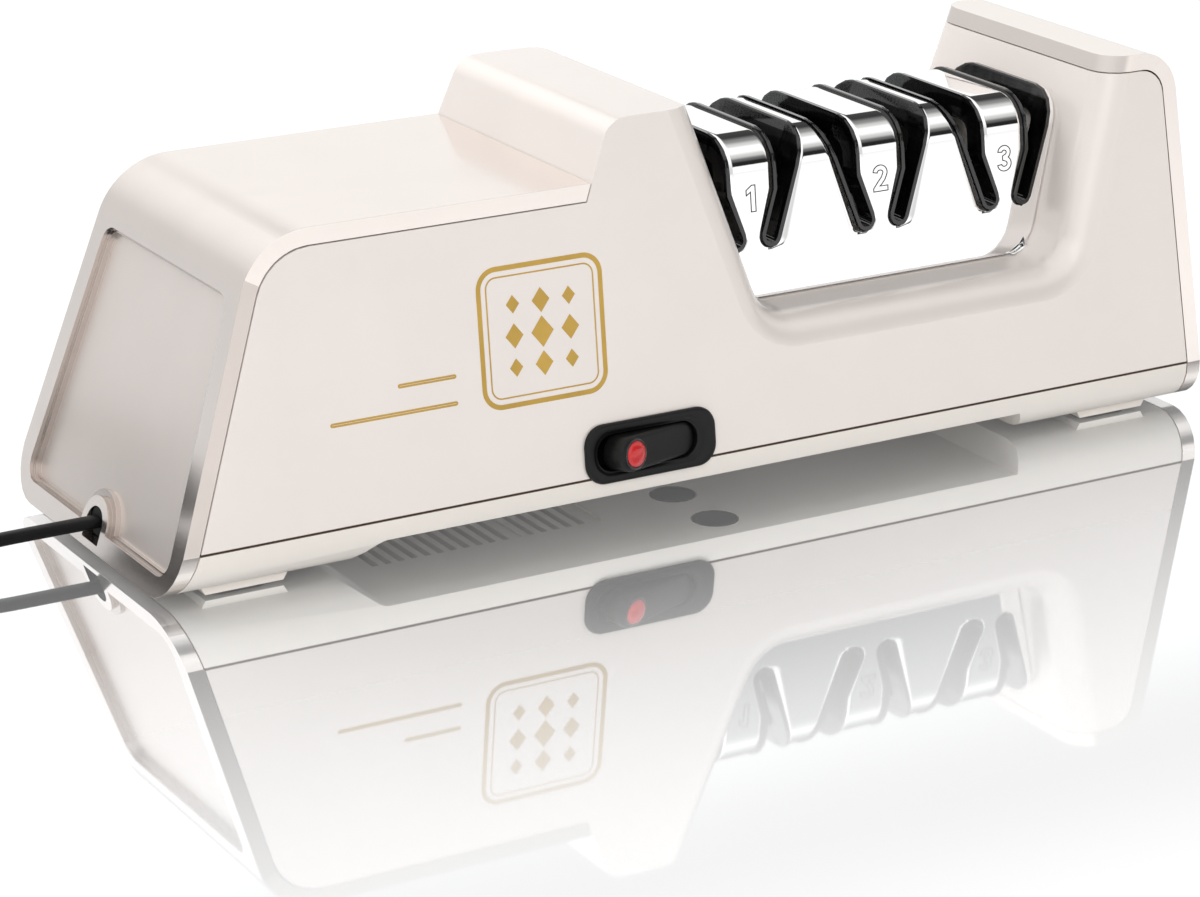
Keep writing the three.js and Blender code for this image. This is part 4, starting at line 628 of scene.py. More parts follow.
def add_floor():
    """A pale glossy floor: its mirror is strongest beside the object and fades out in front of it."""
    mesh = bpy.data.meshes.new("floor")
    corners = np.array([(-1, -1, 0), (1, -1, 0), (1, 1, 0), (-1, 1, 0)]) * FLOOR_HALF
    mesh.from_pydata(corners.tolist(), [], [(0, 1, 2, 3)])
    floor = new_object("floor", mesh)
    floor.location.z = -0.0002
    material = bpy.data.materials.new("floor")
    material.use_nodes = True
    tree = material.node_tree
    tree.nodes.clear()
    path = add_node(tree, "LightPath")
    seen = calculate(tree, "MULTIPLY", path["Is Camera Ray"], FLOOR_LIFT_SEEN)
    level = calculate(tree, "MULTIPLY_ADD", path["Is Glossy Ray"], FLOOR_LIFT_MIRRORED, seen)
    lift = add_node(tree, "Emission", {"Strength": level})[0]
    matt = add_node(tree, "BsdfDiffuse", {"Color": FLOOR_SHADE})[0]
    ground = add_node(tree, "AddShader", {0: matt, 1: lift})[0]
    fade = map_range(tree, separate(tree, "Object")["Y"], *MIRROR_FADE)
    strength = calculate(tree, "MULTIPLY", calculate(tree, "POWER", fade, 1.5), MIRROR_SHARE)
    mirror = add_node(tree, "BsdfGlossy", {"Roughness": 0.03, "Color": MIRROR_SHADE})[0]
    surface = add_node(tree, "MixShader", {0: strength, 1: ground, 2: mirror})[0]
    add_node(tree, "OutputMaterial", {"Surface": surface})
    mesh.materials.append(material)


def add_world():
    """Soft white surroundings, darker overhead, which bright surfaces see as bands about the body's length.

    The bands follow the angle of a direction about x, from the horizon behind (0) over the top to the horizon
    in front (1), and fade to plain white towards the motor end.
    """
    world = bpy.data.worlds.new("studio")
    bpy.context.scene.world = world
    world.use_nodes = True
    tree = world.node_tree
    tree.nodes.clear()
    parts = separate(tree, "Generated")
    plain = add_node(tree, "Background", {"Strength": map_range(tree, parts["Z"], *MATT_LEVELS)})[0]
    share = calculate(tree, "DIVIDE", calculate(tree, "ARCTAN2", parts["Z"], parts["Y"]), math.pi)
    stops = [(position, (level, level, level * 0.99)) for position, level in WORLD_BANDS]
    bands = colour_ramp(tree, share, stops, "EASE")
    side = map_range(tree, parts["X"], *BAND_FADE, step="SMOOTHSTEP")
    height = map_range(tree, parts["Z"], *PLAIN_LEVELS)
    mixed = mix_colours(tree, side, height, bands)
    banded = add_node(tree, "Background", {"Color": mixed, "Strength": BAND_STRENGTH})[0]
    white = add_node(tree, "Background", {"Color": (1, 1, 1, 1)})[0]
    path = add_node(tree, "LightPath")
    lit = add_node(tree, "MixShader", {0: path["Is Glossy Ray"], 1: plain, 2: banded})[0]
    straight = calculate(tree, "MAXIMUM", path["Is Camera Ray"], path["Is Transmission Ray"])
    surface = add_node(tree, "MixShader", {0: straight, 1: lit, 2: white})[0]
    add_node(tree, "OutputWorld", {"Surface": surface})


def add_lamp(name, place, target, size, watts):
    """A square soft light at a place in the row's frame, aimed at a target."""
    data = bpy.data.lights.new(name, "AREA")
    data.shape = "RECTANGLE"
    data.size, data.size_y = size
    data.energy = watts
    lamp = new_object(name, data)
    aim = (Vector(target) - Vector(place)).to_track_quat("-Z", "Y").to_matrix().to_4x4()
    lamp.matrix_world = Matrix.Translation(Vector(place)) @ aim
    lamp.visible_glossy = False


class SHARPENER_OT_stage(bpy.types.Operator):
    """Make the camera, the floor and the light"""

    bl_idname = "sharpener.stage"
    bl_label = "Stage"

    def execute(self, context):
        context.scene.view_settings.view_transform = "Standard"
        add_camera()
        add_floor()
        add_world()
        add_lamp("key light", (-0.85, -1.5, 0.85), (0, 0, 0.05), (1.4, 0.9), 17.5)
        add_lamp("back light", (-0.3, 1.2, 1.2), (0, 0, 0.05), (1.6, 1.0), 24.0)
        return {"FINISHED"}


# Cord


def smoothstep(value, low, high):
    """Cubic step from 0 below low to 1 above high."""
    share = np.clip((value - low) / (high - low), 0, 1)
    return share * share * (3 - 2 * share)


def cord_centres(steps):
    """The cord's middle line: the fall from the motor end, the coil of four layers, the tail to the plug."""
    run = fine_curve(CORD_ROUTE, 4)
    turns = np.linspace(0, COIL_TURNS, int(COIL_TURNS * steps) + 1)
    radius = 17.6 + 15 * np.abs(1 - ((turns + 0.25) / 2.5) % 2)
    angle = -np.pi / 2 - 2 * np.pi * turns
    climb = sum(smoothstep(turns, place - 0.12, place + 0.12) for place in (2.25, 4.75, 7.25))
    coil = np.stack(
        [COIL_X + radius * np.cos(angle), COIL_Y + radius * np.sin(angle), 1.3 + 3.3 * climb], -1
    )
    turn = np.linspace(0, np.pi / 2, 25)[1:]
    x, y, z = coil[-1]
    climb = (PLUG_Z - z) * smoothstep(turn, 0, np.pi / 2)
    tail = np.stack([x + TAIL_ROUND * (1 - np.cos(turn)), y + TAIL_ROUND * np.sin(turn), z + climb], -1)
    line = np.concatenate([run[:-1], coil, tail])
    keep = np.ones(len(line), bool)
    keep[1:] = np.linalg.norm(np.diff(line, axis=0), axis=1) > 0.05
    return line[keep]


def flat_section(width, height, count=20):
    """A flat section with round sides: a superellipse of powers 2.6 and 3.2."""
    angle = circle(count)
    across = signed_power(np.cos(angle), 2 / 2.6) * width / 2
    up = signed_power(np.sin(angle), 2 / 3.2) * height / 2
    return np.stack([across, up], -1)


def plug_grid():
    """Plug body: superellipse sections along x, narrow and ribbed at the cord, broad at the blades."""
    along = [0, 0.4, 2, 3, 4, 5, 6, 7, 8, 9, 10, 12, 15, 18, 21, 24, 28, 31, 33, 33.7, 34]
    half_y = [3, 3.5, 4, 4.1, 3.5, 4.3, 3.7, 4.6, 4, 5, 5.4, 7, 9.6, 11.4, *[12] * 4, 11.8, 11.3, 10.6]
    half_z = [2.3, 2.7, 3.1, 3.2, 2.7, 3.4, 2.9, 3.6, 3.1, 3.9, 4.2, 5.2, 6.4, 7.1, 7.4, *[7.5] * 3]
    half_z += [7.3, 6.9, 6.3]
    along, half_y, half_z = (np.array(row)[:, None] for row in (along, half_y, half_z))
    angle = circle(48)
    y = signed_power(np.cos(angle), 0.62) * half_y + PLUG_Y
    z = signed_power(np.sin(angle), 0.62) * half_z + PLUG_Z
    x = np.broadcast_to(PLUG_X + along, y.shape)
    return np.stack([x, y, z], -1)


def blade_grid(side):
    """Plug blade: its outline and the hole near its tip, two loops of as many points, joined at the edges."""
    start = PLUG_X + 34.3
    angle = circle(40)
    outer_x = np.clip(start + 8.5 + 12 * np.cos(angle), start, start + 17)
    outer_z = PLUG_Z + np.clip(5.85 * np.sin(angle), -3.15, 3.15)
    hole_x = start + 12.5 + 1.6 * np.cos(angle)
    hole_z = PLUG_Z + 1.6 * np.sin(angle)
    y = PLUG_Y + side * 6.35
    x, z = np.stack([outer_x, outer_x, hole_x, hole_x]), np.stack([outer_z, outer_z, hole_z, hole_z])
    y = np.broadcast_to(y + np.array([[-0.75], [0.75], [0.75], [-0.75]]), x.shape)
    return np.stack([x, y, z], -1)


def tie_grid():
    """Strap round the coil's bundle on its far side: a flat section carried round a rounded rectangle."""
    loop = rounded_rows([0.0], 11.4, 6.5, 3.0, 8)[0]
    centres = np.stack([COIL_X - 25.1 + loop[:, 0], np.full(len(loop), COIL_Y), 6.8 + loop[:, 1]], -1)
    ahead = unit(np.roll(centres, -1, 0) - np.roll(centres, 1, 0))
    across = np.broadcast_to(np.array([0.0, 1.0, 0.0]), centres.shape)
    return tube_grid(centres, across, np.cross(ahead, across), flat_section(6.0, 0.5, 16))


class SHARPENER_OT_cord(bpy.types.Operator):
    """Make the cord at its real length, with its plug, blades and tie"""

    bl_idname = "sharpener.cord"
    bl_label = "Cord and plug"

    def execute(self, context):
        settings = context.scene.sharpener
        line = cord_centres(settings.turn_steps)
        ahead = unit(np.gradient(line, axis=0))
        across = unit(np.cross(np.array([0.0, 0.0, 1.0]), ahead))
        up = np.cross(ahead, across)
        section = flat_section(settings.cord_width * 1000, settings.cord_height * 1000)
        cord = surface_object("flat_cord", tube_grid(line, across, up, section), degrees=60)
        hand_over(cord, "cord_black", "cord_run", "cord_coil", "cord_tail")
        plug = surface_object("moulded_plug", plug_grid(), degrees=60)
        hand_over(plug, "cord_black", "plug_body")
        for side, node in ((1, "plug_blade_left"), (-1, "plug_blade_right")):
            blade = ring_object(f"pierced_{node}", blade_grid(side), 30)
            round_edges(blade, 0.00015)
            hand_over(blade, "brass", node, look="nickel-plated brass")
        tie = ring_object("coil_tie", tie_grid(), 60)
        hand_over(tie, "cord_black", look="black rubber")
        return {"FINISHED"}


# Shells


class SHARPENER_OT_shells(bpy.types.Operator):
    """Make the housing, the two wrap covers and the base pan from the CAD nodes, rounded and lacquered"""

    bl_idname = "sharpener.shells"
    bl_label = "Shells"

    def execute(self, context):
        motor_bend = (MOTOR_BEND, math.atan(END_LEAN), -1, (13.9, 18.1))
        far_bend = (FAR_BEND, math.atan(FAR_LEAN), 1, (5.9, 10.1))
        for node, name, slot, bend in (
            ("main_housing", "housing_shell", "pearl_shell", None),
            ("motor_cover", "motor_cover_shell", "champagne_shell", motor_bend),
            ("end_cover", "end_cover_shell", "champagne_shell", far_bend),
            ("base_pan", "base_pan_shell", "pearl_base", None),
        ):
            shell = node_copy(node, name, context.scene.sharpener.bevel, bend)
            hand_over(shell, slot, node)
            if node == "motor_cover":
                self.brighten_steps(shell)
        return {"FINISHED"}

    def brighten_steps(self, cover):
        """Gives the stepped edges of the end panel their bright trim, and its floor a satin look.

        The steps are the faces whose middle lies between the outer sheet and the panel's floor.
        """
        mesh = cover.data
        middles = vectors_of(mesh.polygons, "center") * 1000 - SHIFT
        normals = vectors_of(mesh.polygons, "normal")
        facing = np.array([-1.0, 0.0, END_LEAN]) / math.hypot(1, END_LEAN)
        depth = (middles - np.array([END_X - WRAP, 0.0, PARTING_Z])) @ facing
        region = np.all((middles > PANEL_LOW) & (middles < PANEL_HIGH), axis=1)
        edges = region & (depth < -0.05) & (depth > -PANEL_DEPTH)
        floor = region & (depth <= -PANEL_DEPTH) & (normals @ facing > 0.9)
        mesh.materials.append(finish("bright trim"))
        mesh.materials.append(finish("satin panel"))
        index = np.where(edges, 1, np.where(floor, 2, 0))
        mesh.polygons.foreach_set("material_index", index.astype(np.int32))


# Guide module


def side_share(height):
    """Share of the guide's line at a height on its leaning side."""
    return (height - GUIDE_FOOT_Z) / (GUIDE_TURN_Z - GUIDE_FOOT_Z) * SIDE_SHARE


def guide_line(share, proud=0.0):
    """Cross-section of the guide from the front foot (0) over the top to the back foot (1), as y and z.

    A leaning side, a quarter round about a fixed centre, the flat top and the same mirrored; proud moves the
    line out along its own normal. The round runs from SIDE_SHARE to ROUND_SHARE.
    """
    share = np.asarray(share, float)
    sign = np.where(share > 0.5, 1.0, -1.0)
    share = np.where(share > 0.5, 1 - share, share)
    tilt = math.atan(FACE_LEAN)
    centre_z = GUIDE_TOP_Z - GUIDE_ROUND
    centre_half = GUIDE_HALF - FACE_LEAN * (centre_z - SADDLE_Z) - GUIDE_ROUND * FACE_SECANT
    side = np.clip(share / SIDE_SHARE, 0, 1)
    turn = np.clip((share - SIDE_SHARE) / (ROUND_SHARE - SIDE_SHARE), 0, 1)
    flat = np.clip((share - ROUND_SHARE) / (0.5 - ROUND_SHARE), 0, 1)
    angle = tilt + (np.pi / 2 - tilt) * turn
    z_side = GUIDE_FOOT_Z + (GUIDE_TURN_Z - GUIDE_FOOT_Z) * side
    half_side = GUIDE_HALF - FACE_LEAN * (z_side - SADDLE_Z)
    on_round = share > SIDE_SHARE
    half = np.where(on_round, centre_half + GUIDE_ROUND * np.cos(angle), half_side)
    z = np.where(on_round, centre_z + GUIDE_ROUND * np.sin(angle), z_side)
    half = np.where(share > ROUND_SHARE, centre_half * (1 - flat), half)
    return sign * (half + proud * np.cos(angle)), z + proud * np.sin(angle)


def saddle_edge(z, end):
    """X of the saddle's end wall at height z, its floor corner rounded: end -1 is nearer the motor, 1 far."""
    lean = SADDLE_LEANS[0] if end < 0 else SADDLE_LEANS[1]
    secant = math.hypot(1, lean)
    line = SADDLE_LENGTH / 2 - 0.3 * secant + lean * (z - SADDLE_Z)
    centre_z = SADDLE_Z + 0.3 + SADDLE_ROUND
    centre = SADDLE_LENGTH / 2 - 0.3 * secant + lean * (centre_z - SADDLE_Z) - SADDLE_ROUND * secant
    below = z < centre_z - SADDLE_ROUND * lean / secant
    drop = np.clip(centre_z - z, 0, SADDLE_ROUND)
    arc = centre + np.sqrt(np.maximum(SADDLE_ROUND**2 - drop**2, 0))
    return SADDLE_X + end * np.where(below, arc, line)


def slot_edges(z, grow):
    """Distances of a slot's outer and inner edges from its stage at height z; both are the tip's below it.

    The tip is a half circle, the outer edge leans away, the inner one leans until it meets the island.
    """
    radius = SLOT_ROUND + grow
    lean = math.atan(SLOT_LEAN)
    drop = np.clip(TIP_Z - z, -radius, radius)
    half = np.sqrt(np.maximum(radius**2 - drop**2, 0))
    outer_z = TIP_Z - radius * math.sin(lean)
    inner_z = TIP_Z + radius * math.sin(lean)
    outer_line = TIP_X + radius * math.cos(lean) + (z - outer_z) * SLOT_LEAN
    inner_line = TIP_X - radius * math.cos(lean) + (z - inner_z) * SLOT_LEAN
    outer = np.where(z > outer_z, outer_line, TIP_X + half)
    inner = np.where(z > inner_z, np.minimum(inner_line, ISLAND - grow), TIP_X - half)
    return outer, inner


def guide_rows():
    """Shares of the guide's line, close together at its foot, at the tips of the slots and on the round."""
    tip = TIP_Z - SLOT_ROUND - RIM_FIT
    dip = (SLOT_ROUND + RIM_FIT) * (1 - np.cos(np.linspace(0, np.pi / 2, 12)))
    corner = GUIDE_FOOT_Z - 0.1 + SADDLE_ROUND * (1 - np.cos(np.linspace(0.1437, 1.3, 16)))
    rise = np.linspace(corner[-1], tip, 7)[1:-1]
    heights = np.concatenate([corner, rise, tip + dip, np.linspace(TIP_Z, GUIDE_TURN_Z, 14)[1:]])
    half = np.concatenate([side_share(heights), np.linspace(SIDE_SHARE, ROUND_SHARE, 22)[1:], [0.5]])
    return np.concatenate([half, 1 - half[-2::-1]])


def guide_sheet():
    """The bright sheet: its cross-section carried along x, with columns that follow the slots' edges.

    Between two edges the columns are evenly spaced; the strips inside the slots are left out.
    """
    share = guide_rows()
    y, z = guide_line(share)
    edges = [saddle_edge(z, -1)]
    outer, inner = slot_edges(z, RIM_FIT)
    for stage in STAGES:
        edges += [stage - outer, stage - inner, stage + inner, stage + outer]
    edges.append(saddle_edge(z, 1))
    grids = []
    for first in range(0, len(edges), 2):
        columns = np.linspace(0, 1, 9)[None, :]
        x = edges[first][:, None] * (1 - columns) + edges[first + 1][:, None] * columns
        grids.append(np.stack(np.broadcast_arrays(x, y[:, None], z[:, None]), -1))
    return grids


def rim_grid(stage, side):
    """A slot's black rim: a rounded lip carried round the slot's edge, over the guide and back.

    Each row is a loop at one inset from the edge and one height over the sheet. The loop goes up the outer
    edge from the front tip to the back one and returns along the inner edge.
    """
    crest = np.linspace(0, np.pi, 9)
    half = RIM_WIDTH / 2
    lip = np.stack([half - half * np.cos(crest), RIM_PROUD - half + half * np.sin(crest)], -1)
    walls = np.array([(0.0, -RIM_DEPTH), (0.0, -2.0), (RIM_WIDTH, -2.0), (RIM_WIDTH, -RIM_DEPTH)])
    profile = np.concatenate([walls[:2], lip, walls[2:]])
    lean = math.atan(SLOT_LEAN)
    angles = np.linspace(-lean - np.pi / 2, -lean, 8)
    rows = []
    for inset, proud in profile:
        radius = SLOT_ROUND - inset

        def leg(angles, edge):
            tip_x, tip_z = TIP_X + radius * np.cos(angles), TIP_Z + radius * np.sin(angles)
            up = side_share(np.linspace(tip_z.max(), GUIDE_TURN_Z, 16)[1:])
            over = np.concatenate([up, np.linspace(SIDE_SHARE, ROUND_SHARE, 14)[1:], [0.5]])
            y, z = guide_line(np.concatenate([side_share(tip_z), over]), proud)
            x = np.concatenate([tip_x, slot_edges(z[len(tip_x) :], -inset)[edge]])
            front = np.stack([x, y, z], -1)
            return np.concatenate([front, front[-2::-1] * np.array([1.0, -1.0, 1.0])])

        outer, inner = leg(angles, 0), leg(angles[::-1] - np.pi / 2, 1)
        rows.append(np.concatenate([outer, inner[-2:0:-1]]))
    grid = np.array(rows)
    grid[..., 0] = stage + side * grid[..., 0]
    return grid


class SHARPENER_OT_guides(bpy.types.Operator):
    """Make the bright guide cover, the black rims of its six slots and the moulding under it"""

    bl_idname = "sharpener.guides"
    bl_label = "Guides"

    def execute(self, context):
        sheet = surface_object("guide_sheet", guide_sheet(), caps=False, wrap_columns=False, degrees=40)
        wall = sheet.modifiers.new("sheet thickness", "SOLIDIFY")
        wall.thickness = GUIDE_SHEET * 0.001
        wall.offset = -1.0
        wall.use_even_offset = False
        hand_over(sheet, "bright_sheet", "guide_cover")
        insert = node_copy("guide_insert", "guide_moulding")
        hand_over(insert, "gloss_black", "guide_insert")
        for number, stage in enumerate(STAGES, 1):
            for side, label in ((-1, "left"), (1, "right")):
                rim = ring_object(f"slot_rim_{number}_{label}", rim_grid(stage, side), 50)
                hand_over(rim, "gloss_black")
        return {"FINISHED"}


# Print


def foil_band(loops, foot_y, foot_z, low, high):
    """A thin closed band between two loops of [x, height z] on a face that leans from a foot at y and z."""
    y = foot_y + FACE_LEAN * (loops[..., 1] - foot_z)
    base = np.stack([loops[..., 0], y, loops[..., 1]], -1)[[0, 0, 1, 1]]
    return base + FACE_OUT * np.array([low, high, high, low])[:, None, None]


def stroke_edge(path, width):
    """Edge of a stroke: the path's points moved half the width to its left, then back on its right."""
    step = np.gradient(path, axis=0)
    normal = unit(np.stack([-step[:, 1], step[:, 0]], -1))
    return np.concatenate([path + normal * width / 2, (path - normal * width / 2)[::-1]])


def arc(centre, radii, first, last, steps):
    """Part of an ellipse between two angles in degrees."""
    angle = np.radians(np.linspace(first, last, steps))
    return np.stack([centre[0] + radii[0] * np.cos(angle), centre[1] + radii[1] * np.sin(angle)], -1)


def number_edge(number):
    """Closed edge of a bold number 5.7 mm high, as [point, across and up] from the middle of its foot."""
    if number == 1:
        corners = [(-0.2, 0), (1.0, 0), (1.0, 5.7), (0.1, 5.7), (-1.3, 4.75), (-1.3, 3.6), (-0.2, 4.25)]
        return np.array(corners, float)
    if number == 2:
        bow = arc((0, 4.05), (1.3, 1.1), 175, -30, 22)
        path = np.concatenate([bow, [(0.75, 2.75), (-0.2, 1.75), (-0.85, 1.05)]])
        edge = stroke_edge(path, 1.1)
        count = len(path)
        foot = np.array([(-0.2, 1.1), (1.9, 1.1), (1.9, 0), (-1.85, 0), (-1.85, 0.7)])
        return np.concatenate([edge[: count - 1], foot, edge[count + 1 :]])
    top, bottom = (0, 4.15), (0, 1.65)
    outer = [arc(top, (1.7, 1.55), 172, -50, 18), arc(bottom, (1.85, 1.65), 42, -172, 20)]
    inner = [arc(bottom, (0.75, 0.6), -168, 55, 14), [(-0.45, 2.45), (-0.45, 3.4)]]
    return np.concatenate([*outer, *inner, arc(top, (0.6, 0.5), -60, 168, 14)])


def hair_line(edge, half):
    """A closed edge as two loops, half to either side of it along the mean normal of its two neighbours."""
    bisector = unit(np.roll(edge, -1, 0) - edge) + unit(edge - np.roll(edge, 1, 0))
    normal = np.stack([-bisector[:, 1], bisector[:, 0]], -1)
    normal = normal / np.maximum(np.sum(normal * normal, 1, keepdims=True), 0.5) * 2
    return np.stack([edge + normal * half, edge - normal * half])


class SHARPENER_OT_print(bpy.types.Operator):
    """Make the gold ornament on the front and the numbers on the guide"""

    bl_idname = "sharpener.print"
    bl_label = "Ornament and numbers"

    def execute(self, context):
        self.lattice()
        self.numbers()
        return {"FINISHED"}

    def lattice(self):
        """A rounded square frame round a lattice of lozenges that grow smaller away from its middle."""
        bands = []
        for insets in ((0.0, 1.15), (2.3, 2.65)):
            loops = rounded_rows(insets, LATTICE_HALF, LATTICE_HALF, LATTICE_ROUND, 10)
            bands.append(foil_band(loops + LATTICE_PLACE, *ON_FRONT))
        corners = np.array([(1, 0), (0, 1), (-1, 0), (0, -1)], float)
        for column in (-1, 0, 1):
            for row in (-1, 0, 1):
                reach = 3.6 - 0.75 * (abs(column) + abs(row))
                middle = LATTICE_PLACE + np.array([column, row]) * LOZENGE_STEP
                lozenge = middle + corners * reach * np.array([0.8, 1.0])
                bands.append(foil_band(np.stack([lozenge, middle + corners * 0.01]), *ON_FRONT))
        piece = ring_object("gold_lattice", bands, 30)
        hand_over(piece, "brass", look="gold foil")
        lines = []
        for left, height in ((-84.5, 42.3), (-101.6, 36.2)):
            loops = rounded_rows([0.0, 0.45], (STRIPES_END - left) / 2, 0.5, 0.49, 6)
            loops = loops + np.array([(left + STRIPES_END) / 2, height])
            lines.append(foil_band(loops, *ON_FRONT))
        stripes = ring_object("gold_stripes", lines, 30)
        hand_over(stripes, "brass", look="gold foil")

    def numbers(self):
        """Outline numbers 1, 2 and 3 on the guide's front: a hairline carried round each number's edge."""
        for number, stage in enumerate(STAGES, 1):
            loops = hair_line(number_edge(number) * 1.1, 0.12) + np.array([stage, NUMBER_Z])
            piece = ring_object(f"stage_number_{number}", foil_band(loops, *ON_GUIDE), 30)
            hand_over(piece, "satin_black")


# Switch


def switch_matrix():
    """Switch frame on the front face, millimetres: x along the body, y up the face, z out of it."""
    origin = Vector((SWITCH_X, FACE_Y + FACE_LEAN * (SWITCH_Z - PARTING_Z), SWITCH_Z))
    return Matrix.Translation(origin) @ Matrix.Rotation(math.atan2(1, FACE_LEAN), 4, "X")


def placed(grid, matrix):
    """Points of a grid moved by a matrix."""
    turn = np.array(matrix)
    return grid @ turn[:3, :3].T + turn[:3, 3]


def bezel_grid():
    """Bezel: a closed profile carried round from the plate's outer edge to the well's wall.

    The share of each profile point tells how far it lies from the outer rounded rectangle to the well's one,
    and its height how far it stands off the front.
    """
    share = [0, 0, 0.05, 0.14, 0.30, 0.62, 0.72, 0.80, 0.86, 0.97, 1, 1, 0.8, 0.8]
    height = [0.3, 0.75, 1.1, 1.28, 1.3, 1.3, 1.22, 0.95, 0.82, 0.8, 0.65, -7, -7, 0.3]
    share, height = (np.array(row)[:, None, None] for row in (share, height))
    outer = rounded_rows([0.0], 17.4, 7.0, 5.0, 12)[0] + np.array([BEZEL_SHIFT, 0.0])
    inner = rounded_rows([0.0], WELL_HALF, 4.35, 4.2, 12)[0]
    flat = outer[None] * (1 - share) + inner[None] * share
    return np.concatenate([flat, np.broadcast_to(height, flat.shape[:2] + (1,))], -1)


def rocker_grid():
    """Rocker: a long pill whose face is slightly crowned and whose edge is rounded."""
    turn = np.linspace(0, np.pi / 2, 7)
    edge = np.stack([1.1 * (1 - np.cos(turn)), 3.9 + 1.1 * np.sin(turn)], -1)
    profile = np.concatenate([[(0.3, -1.0), (0.0, -0.7)], edge, [(2.0, 5.05), (3.0, 5.08)]])
    return pad_grid(profile, 12.6, 4.15, 4.0, 12)


def round_the_lens(radius, height):
    """Rows of radii and heights turned about the lens's middle."""
    angle = circle(40)
    x, y = LENS_X + radius[:, None] * np.cos(angle), radius[:, None] * np.sin(angle)
    return np.stack([x, y, np.broadcast_to(height[:, None], x.shape)], -1)


def lens_grid():
    """Lens: a low dome over a short round wall."""
    turn = np.linspace(0, np.pi / 2, 10)[:-1]
    radius = np.concatenate([[2.95, 3.05], 3.05 * np.cos(turn), [0.03]])
    height = np.concatenate([[3.2, 3.3], 4.95 + 1.3 * np.sin(turn), [6.25]])
    return round_the_lens(radius, height)


def lens_ring_grid():
    """Thin collar of the lens in the rocker's face: a small round section turned about the lens."""
    around = circle(10)
    return round_the_lens(3.3 + 0.28 * np.cos(around), 5.02 + 0.2 * np.sin(around))


class SHARPENER_OT_switch(bpy.types.Operator):
    """Make the switch's bezel, its rocker and its red lens"""

    bl_idname = "sharpener.switch"
    bl_label = "Switch"

    def execute(self, context):
        on_front = switch_matrix()
        on_rocker = on_front @ Matrix.Translation((0, 0, -1.5)) @ Matrix.Rotation(ROCKER_TILT, 4, "Y")
        bezel = ring_object("bezel", placed(bezel_grid(), on_front), 40)
        hand_over(bezel, "satin_black", "switch_bezel")
        # A black floor pad low in the bezel's well: the switch's dark inside, and also painted shade for the
        # gap round the rocker
        floor = [(0.3, -7.5), (0.0, -7.2), (0.0, -6.9), (0.2, -6.7)]
        well = surface_object("switch_well", placed(pad_grid(floor, 13.6, 4.5, 4.3), on_front), degrees=40)
        hand_over(well, "satin_black")
        rocker = surface_object("rocker", placed(rocker_grid(), on_rocker), degrees=45)
        hand_over(rocker, "satin_black", "switch_rocker", body="rocker")
        lens = surface_object("pilot_lens", placed(lens_grid(), on_rocker), degrees=60)
        hand_over(lens, "red_lens", "switch_lens", body="rocker")
        ring = ring_object("lens_collar", placed(lens_ring_grid(), on_rocker), 60)
        hand_over(ring, "satin_black", body="rocker", look="gloss black")
        return {"FINISHED"}


# Drive


def wheel_grid(side, x):
    """Abrasive wheel: its profile turned about the axle, a low rounded rim, a hub and a spring pocket."""
    radius = [3.3, 6.5, 6.5, 9.0, 9.0, 23.0, 23.0, 9.0, 9.0, 3.3]
    along = [5.8, 5.8, 1.2, 1.2, 1.7, 1.7, 3.7, 4.3, 7.0, 7.0]
    profile = rounded_profile(np.stack([radius, along], -1), 0.25, 3)
    return turned_grid(profile * np.array([1.0, side]), 72, x)


def spring_grid(side, x):
    """Compression spring: a round wire carried along a helix about the axle."""
    turns = np.linspace(0, 3, 3 * 28 + 1)
    along = 1.6 + (5.8 - 0.3 - 0.5 - 1.6) * turns / 3
    angle = 2 * np.pi * turns
    around = circle(10)
    radius = 4.9 + 0.5 * np.cos(around)[None]
    reach = x + side * (along[:, None] + 0.5 * np.sin(around)[None])
    return np.stack([reach, radius * np.cos(angle)[:, None], AXLE_Z + radius * np.sin(angle)[:, None]], -1)


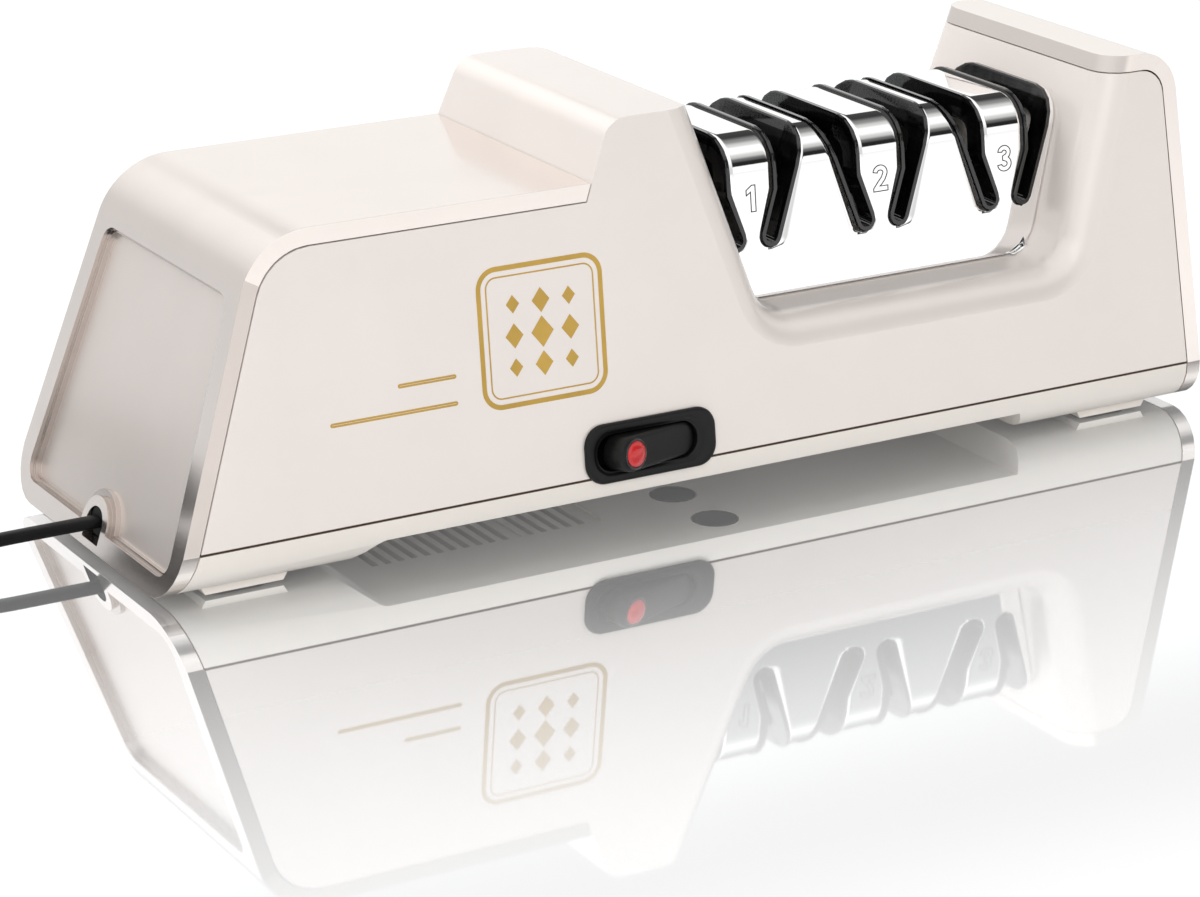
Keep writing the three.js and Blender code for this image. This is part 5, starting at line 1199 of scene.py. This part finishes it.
class SHARPENER_OT_drive(bpy.types.Operator):
    """Make the six abrasive wheels and the springs between them"""

    bl_idname = "sharpener.drive"
    bl_label = "Wheels and springs"

    def execute(self, context):
        for number, stage in enumerate(STAGES, 1):
            for side, label in ((-1, "left"), (1, "right")):
                place = f"stage_{number}_{label}"
                wheel = ring_object(f"grit_{place}", wheel_grid(side, stage), 35)
                hand_over(wheel, "abrasive", f"wheel_{place}", body=f"wheel_{number}_{label}")
                coil = surface_object(f"wire_{place}", spring_grid(side, stage), degrees=60)
                node = f"spring_{place}"
                hand_over(coil, "bright_steel", node, body=body_of(frame["nodes"][node])[0])
        return {"FINISHED"}


# What stays from the CAD


class SHARPENER_OT_finishes(bpy.types.Operator):
    """Give every CAD node that still shows its finish"""

    bl_idname = "sharpener.finishes"
    bl_label = "Finishes"

    def execute(self, context):
        slots = {row["node"]: row["material_slot"] for row in frame["record"]["subparts"]}
        for node, obj in frame["nodes"].items():
            material = slot_finish(slots[node])
            for socket in obj.material_slots:
                socket.link = "OBJECT"
                socket.material = material
        return {"FINISHED"}


class SHARPENER_PT_pieces(bpy.types.Panel):
    """Lists the operators and the settings"""

    bl_label = "Sharpener"
    bl_idname = "SHARPENER_PT_pieces"
    bl_space_type = "VIEW_3D"
    bl_region_type = "UI"
    bl_category = "Sharpener"

    def draw(self, context):
        for setting in SharpenerSettings.__annotations__:
            self.layout.prop(context.scene.sharpener, setting)
        for operator in OPERATORS:
            self.layout.operator(operator.bl_idname)


OPERATORS = (
    SHARPENER_OT_stage,
    SHARPENER_OT_cord,
    SHARPENER_OT_shells,
    SHARPENER_OT_guides,
    SHARPENER_OT_print,
    SHARPENER_OT_switch,
    SHARPENER_OT_drive,
    SHARPENER_OT_finishes,
)
CLASSES = (SharpenerSettings, *OPERATORS, SHARPENER_PT_pieces)


def register():
    for item in CLASSES:
        bpy.utils.register_class(item)
    bpy.types.Scene.sharpener = PointerProperty(type=SharpenerSettings)


def unregister():
    del bpy.types.Scene.sharpener
    for item in reversed(CLASSES):
        bpy.utils.unregister_class(item)


def main():
    """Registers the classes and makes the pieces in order."""
    register()
    bpy.ops.sharpener.stage()
    bpy.ops.sharpener.cord()
    bpy.ops.sharpener.shells()
    bpy.ops.sharpener.guides()
    bpy.ops.sharpener.print()
    bpy.ops.sharpener.switch()
    bpy.ops.sharpener.drive()
    bpy.ops.sharpener.finishes()


if __name__ == "__main__":
    main()
